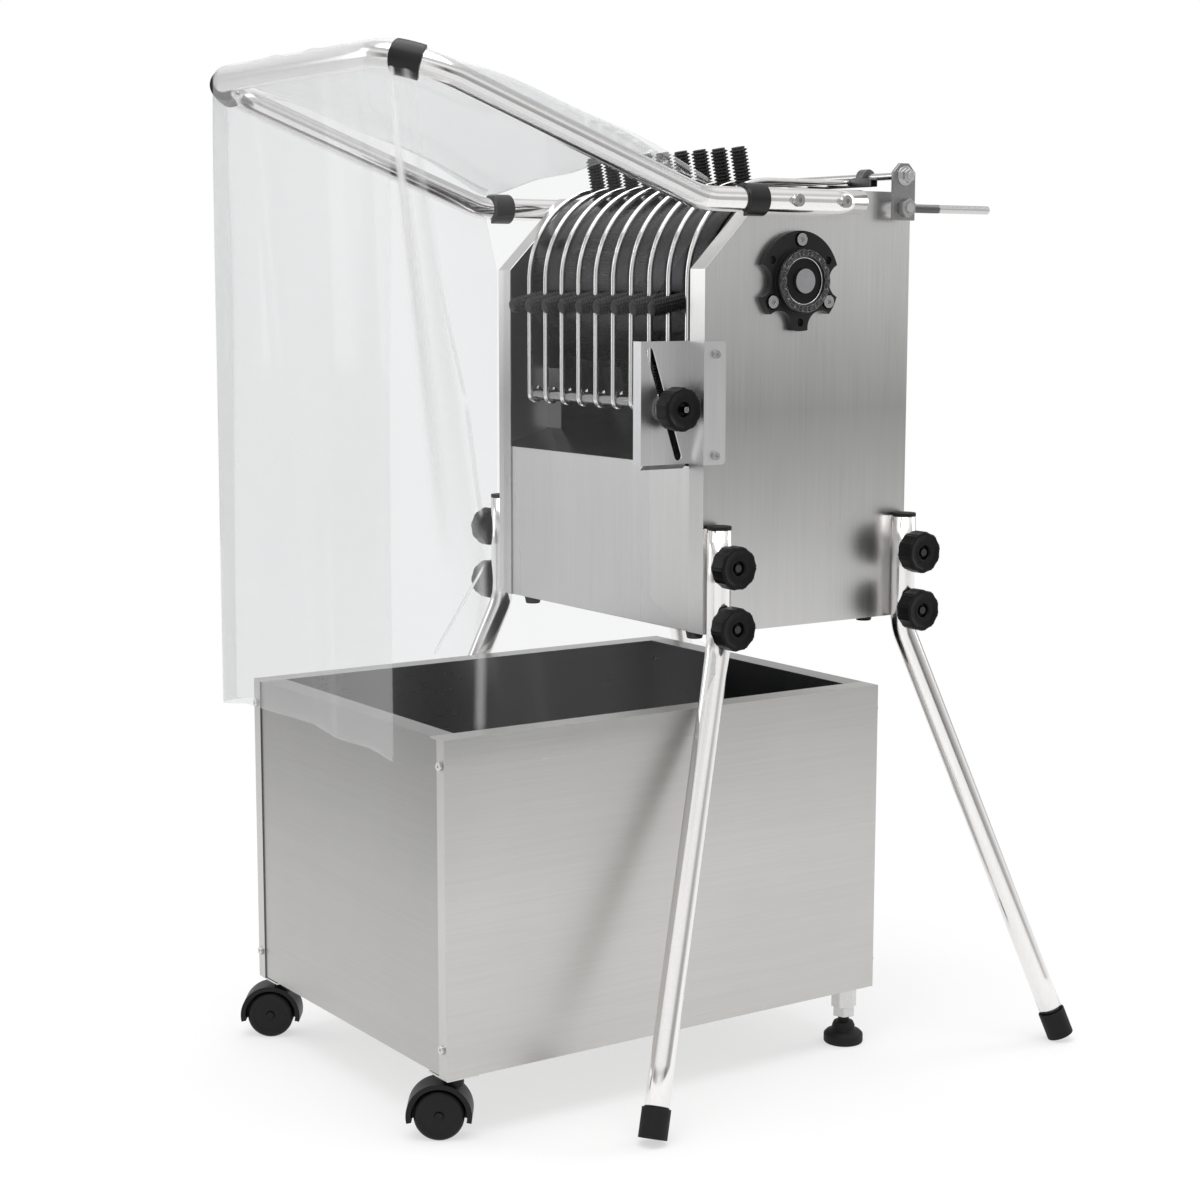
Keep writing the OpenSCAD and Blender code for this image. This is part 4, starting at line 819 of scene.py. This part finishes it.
def clear_film(name):
    """Clear film: see-through, a little grey, with glossy reflections that grow towards a glancing angle,
    and painted glints: whiter, more reflective lines that stand in for lamps reflected in its folds.
    """
    material, place = blank(name)
    cloud = noise(place, 5.0, 2.0, (1, 1, 0.25))
    bump = place.node("ShaderNodeBump", {}, {"Strength": 0.2, "Distance": 0.003, "Height": cloud})
    rim = place.node("ShaderNodeLayerWeight", {}, {"Blend": 0.2, "Normal": bump}, out="Fresnel")
    # Painted highlight: the glint marks on the mesh and the straight lines whiten the film and raise its
    # reflective share.
    crease = place.node("ShaderNodeAttribute", {"attribute_name": "crease"}, out="Fac")
    for start, end, width, strength in straight_painted_glints:
        crease = crease + painted_glint_line(place, start, end, width) * strength
    haze_and_painted_glint = cloud.between(0.42, 0.72) * 0.025 + crease * 0.85
    clear = place.node("ShaderNodeBsdfTransparent", {}, {"Color": (0.966, 0.968, 0.97, 1)})
    shine = place.node("ShaderNodeBsdfPrincipled", {}, {
        "Base Color": mixed(crease.clamped(), grey(0.75), grey(0.95)), "Roughness": 0.06 + cloud * 0.06,
        "Normal": bump, "Specular IOR Level": 0.6})
    veil = (rim * 0.3 + haze_and_painted_glint + 0.01).clamped()
    film = place.node("ShaderNodeMixShader", {}, {0: veil, 1: clear, 2: shine})
    place.node("ShaderNodeOutputMaterial", {}, {"Surface": film})
    return material


# Each straight painted glint: its two ends as (y, z), its width and its strength.
straight_painted_glints = [((-0.302, 0.570), (-0.361, 0.486), 0.0022, 0.9),
                    ((-0.352, 0.84), (-0.322, 0.721), 0.003, 0.5),
                    ((-0.322, 0.721), (-0.306, 0.609), 0.004, 0.4),
                    ((-0.306, 0.609), (-0.311, 0.40), 0.009, 0.22)]
film_finish = clear_film("clear_film")
film_off = 0.0006
film_t = 0.0003
film_drop = 0.002
slack_rise = 0.013
slack_ripple = 0.0015
clip_reach = 0.05
film_x = arm_x + tube_r + film_off
film_y = front_y - tube_r - film_off
film_bend = corner_r + tube_r + film_off
side_gap = 0.036
side_rear = cab_front - side_gap
hem_near = 0.376
hem_front = 0.392
hem_far = 0.374
hem_wave = 0.002


def hood_height(y):
    """Height of the hood tube's centre line over a place along Y."""
    order = np.argsort(hood_path[: len(hood_path) // 2, 1])
    half = hood_path[: len(hood_path) // 2][order]
    return np.interp(y, half[:, 1], half[:, 2])


def ridge(at, width):
    """A rounded ridge down the film that widens as it falls: exp(-(distance / width)^2)."""
    return np.exp(-((column[None] - at) / (width * (0.25 + 0.75 * t))) ** 2)


def slack(y):
    """How far the film lifts off the arms between the clips: a half sine wave along them, and a ripple."""
    along = (y - front_y - clip_reach) / (cab_front - front_y - clip_reach)
    return slack_rise * np.sin(np.pi * np.clip(along, 0, 1)) + slack_ripple * np.sin(40 * y)


def paint_glints(piece, strength):
    """Marks painted glints on a film, from 0 to 1 at each point: lines that stand in for lamps reflected in
    its folds.
    """
    layer = piece.data.attributes.new("crease", "FLOAT", "POINT")
    layer.data.foreach_set("value", np.clip(strength, 0, 1).astype(np.float32).ravel())


def film_plan(bend):
    """The film's line seen from above, round both front corners: its points and their run from the near
    edge. Only the near corner takes the bend."""
    turns = [(film_x, side_rear, 0), (film_x, film_y, 0), (-film_x, film_y, 0), (-film_x, side_rear, 0)]
    points = filleted(turns, [bend, film_bend])
    return points, np.concatenate([[0], np.cumsum(np.linalg.norm(np.diff(points, axis=0), axis=1))])


# The column and its share of the run go from the near rear edge (0) round the front to the far rear
# edge (1), and t falls from the tube (0) to the hem (1). Towards the hem the columns lean to the near edge.
curtain_cols = 420
curtain_rows = 100
column = np.linspace(0, 1, curtain_cols)
t = np.linspace(0, 1, curtain_rows)[:, None]
near_clip = 0.302
far_clip = 1 - near_clip
lean = np.interp(column, [0, 0.2, near_clip, near_clip + 0.014, 0.44, 0.58, far_clip, 1],
                 [0, -0.05, -0.095, -0.07, -0.02, -0.10, -0.02, 0])
share = np.clip(column[None] + lean[None] * t, 0, 1)

# Below the tube the near front corner closes to a tight bend.
tight_bend = 0.016
tightened = np.clip(t / 0.16, 0, 1)
tightened = tightened ** 2 * (3 - 2 * tightened)
plan_at = 0
for bend, weight in ((film_bend, 1 - tightened), (tight_bend, tightened)):
    points, run = film_plan(bend)
    at = np.stack([np.interp(share * run[-1], run, points[:, k]) for k in range(2)], -1)
    plan_at = plan_at + weight[..., None] * at
plan_out = np.gradient(plan_at, axis=1)
plan_out = np.stack([plan_out[..., 1], -plan_out[..., 0]], -1)
plan_out = -plan_out / np.linalg.norm(plan_out, axis=-1, keepdims=True)
top = hood_height(plan_at[:1, :, 1]) - film_drop
hem = np.interp(share[-1:], [0, 0.24, 0.36, 0.62, 0.76, 1],
                [hem_near, hem_near, hem_front, hem_front, hem_far, hem_far])
hem = hem + hem_wave * np.sin(column * 24)
fall = top + (hem - top) * t

# Folds: each has its place along the run, its width and its height. Soft folds open towards the hem and
# sharp ones fan out from the clips.
soft_folds = [(near_clip - 0.06, 0.028, 0.006), (near_clip + 0.05, 0.030, 0.005),
              (near_clip + 0.13, 0.04, 0.006), (far_clip - 0.12, 0.04, -0.006),
              (far_clip - 0.04, 0.026, -0.005), (far_clip + 0.05, 0.03, 0.006),
              (far_clip + 0.16, 0.04, 0.006)]
sharp_folds = [(near_clip + 0.014, 0.006, 0.004), (near_clip, 0.012, 0.005), (0.58, 0.012, 0.003),
               (far_clip - 0.015, 0.010, 0.003)]
soft_share = 0.6
folds = 0.002 * t * (1 + np.sin(column[None] * 19 + 2 * t))
for at, width, high in soft_folds:
    folds = folds + soft_share * high * t ** 0.8 * ridge(at, width)
for at, width, high in sharp_folds:
    folds = folds + high * (1 - t) * t ** 0.4 * ridge(at, width)

# Both rear edges reach back to the cabinet's front. The near one is drawn forward beside the guide
# bracket, and the far one swings inward past the leg.
edge_width = 0.13
edge_gap = 0.005
near_edge = np.clip(1 - column / edge_width, 0, 1)[None] ** 2
far_edge = np.clip(1 - (1 - column) / edge_width, 0, 1)[None] ** 2
to_front = cab_front - edge_gap - side_rear
near_heights = [0.37, 0.46, 0.52, 0.81, 0.87, 0.93]
near_reach = np.interp(fall, near_heights, [to_front, to_front, -0.05, -0.05, 0, to_front])
rearward = near_edge * near_reach + far_edge * to_front
inward = np.interp(fall, [0.40, 0.48, 0.84, 0.92], [0, 0.031, 0.031, 0]) * far_edge
across = plan_at + plan_out * (folds - inward)[..., None] + rearward[..., None] * np.array([0, 1])
drop_rows = np.concatenate([across, fall[..., None]], -1)

# The top rows wrap over the tube and lift off it between the clips.
wrap = np.radians(np.linspace(90, 10, 8))[:, None, None]
over = tube_r + film_off
crown = across[:1] - plan_out[:1] * over * (1 - np.cos(wrap))
crown_z = top[..., None] + film_drop + (over / np.cos(arm_rise) + slack(across[:1, :, 1:])) * np.sin(wrap)
curtain = np.concatenate([np.concatenate([crown, crown_z], -1), drop_rows])
drape = new_object("curtain_drape", curtain.reshape(-1, 3), grid_faces(len(curtain), curtain_cols))
# Painted glints: white lines down the sharp folds that fan from the near clip.
glint = np.clip(1.6 - t / 0.45, 0, 1) * ridge(near_clip + 0.014, 0.006)
glint = glint + 0.28 * np.clip(2 - t / 0.45, 0, 1) * ridge(near_clip, 0.012)
paint_glints(drape, np.concatenate([np.zeros((len(wrap), curtain_cols)), glint]))
film_skin = drape.modifiers.new("film_thickness", "SOLIDIFY")
film_skin.thickness = film_t
film_skin.offset = 0
dress(drape, film_finish, "machine", "clear_film",
      "curtain_front", "curtain_side_right", "curtain_side_left")


# Roof film: it bows up between the arms, more towards the near one, with a faint ripple.
roof_steps = 60
roof_v = np.linspace(0, 1, roof_steps)[:, None]
roof_u = np.linspace(-1, 1, roof_steps)[None]
roof_gap = 0.004
roof_hem = cab_front - roof_gap
roof_y = roof_hem + (front_y - roof_hem) * roof_v
roof_corner_r = 0.105
corner_cut = np.clip(roof_corner_r - (roof_y - front_y), 0, None)
roof_half = arm_x - roof_corner_r + np.sqrt(np.clip(roof_corner_r ** 2 - corner_cut ** 2, 0, None))
roof_rise = 0.026
bow = roof_rise * (1 - roof_u ** 2) * (1 + 0.45 * roof_u) * (1 - roof_v ** 4)
ripple = 0.0016 * (1 - roof_u ** 2) * (np.sin(5 * roof_u + 5 * roof_v) + np.sin(9 * roof_u - 7 * roof_v))
edge_lift = slack(roof_y) * (0.3 + 0.7 * roof_u ** 4)
roof_z = hood_height(roof_y) + (tube_r + film_off) / np.cos(arm_rise) + bow + ripple + edge_lift
roof = np.stack([roof_u * roof_half, roof_y + 0 * roof_u, roof_z], -1)
roof_faces = grid_faces(roof_steps, roof_steps)[:, ::-1]
roof_piece = new_object("curtain_roof_film", roof.reshape(-1, 3), roof_faces)
# A painted glint along the roof film's near edge.
roof_glint = 0.3 * np.exp(-((roof_u - 0.86 + 0.05 * roof_v) / 0.02) ** 2) * (1 - roof_v)
paint_glints(roof_piece, roof_glint)
roof_skin = roof_piece.modifiers.new("film_thickness", "SOLIDIFY")
roof_skin.thickness = film_t
roof_skin.offset = 0
dress(roof_piece, film_finish, "machine", "clear_film", "curtain_roof")
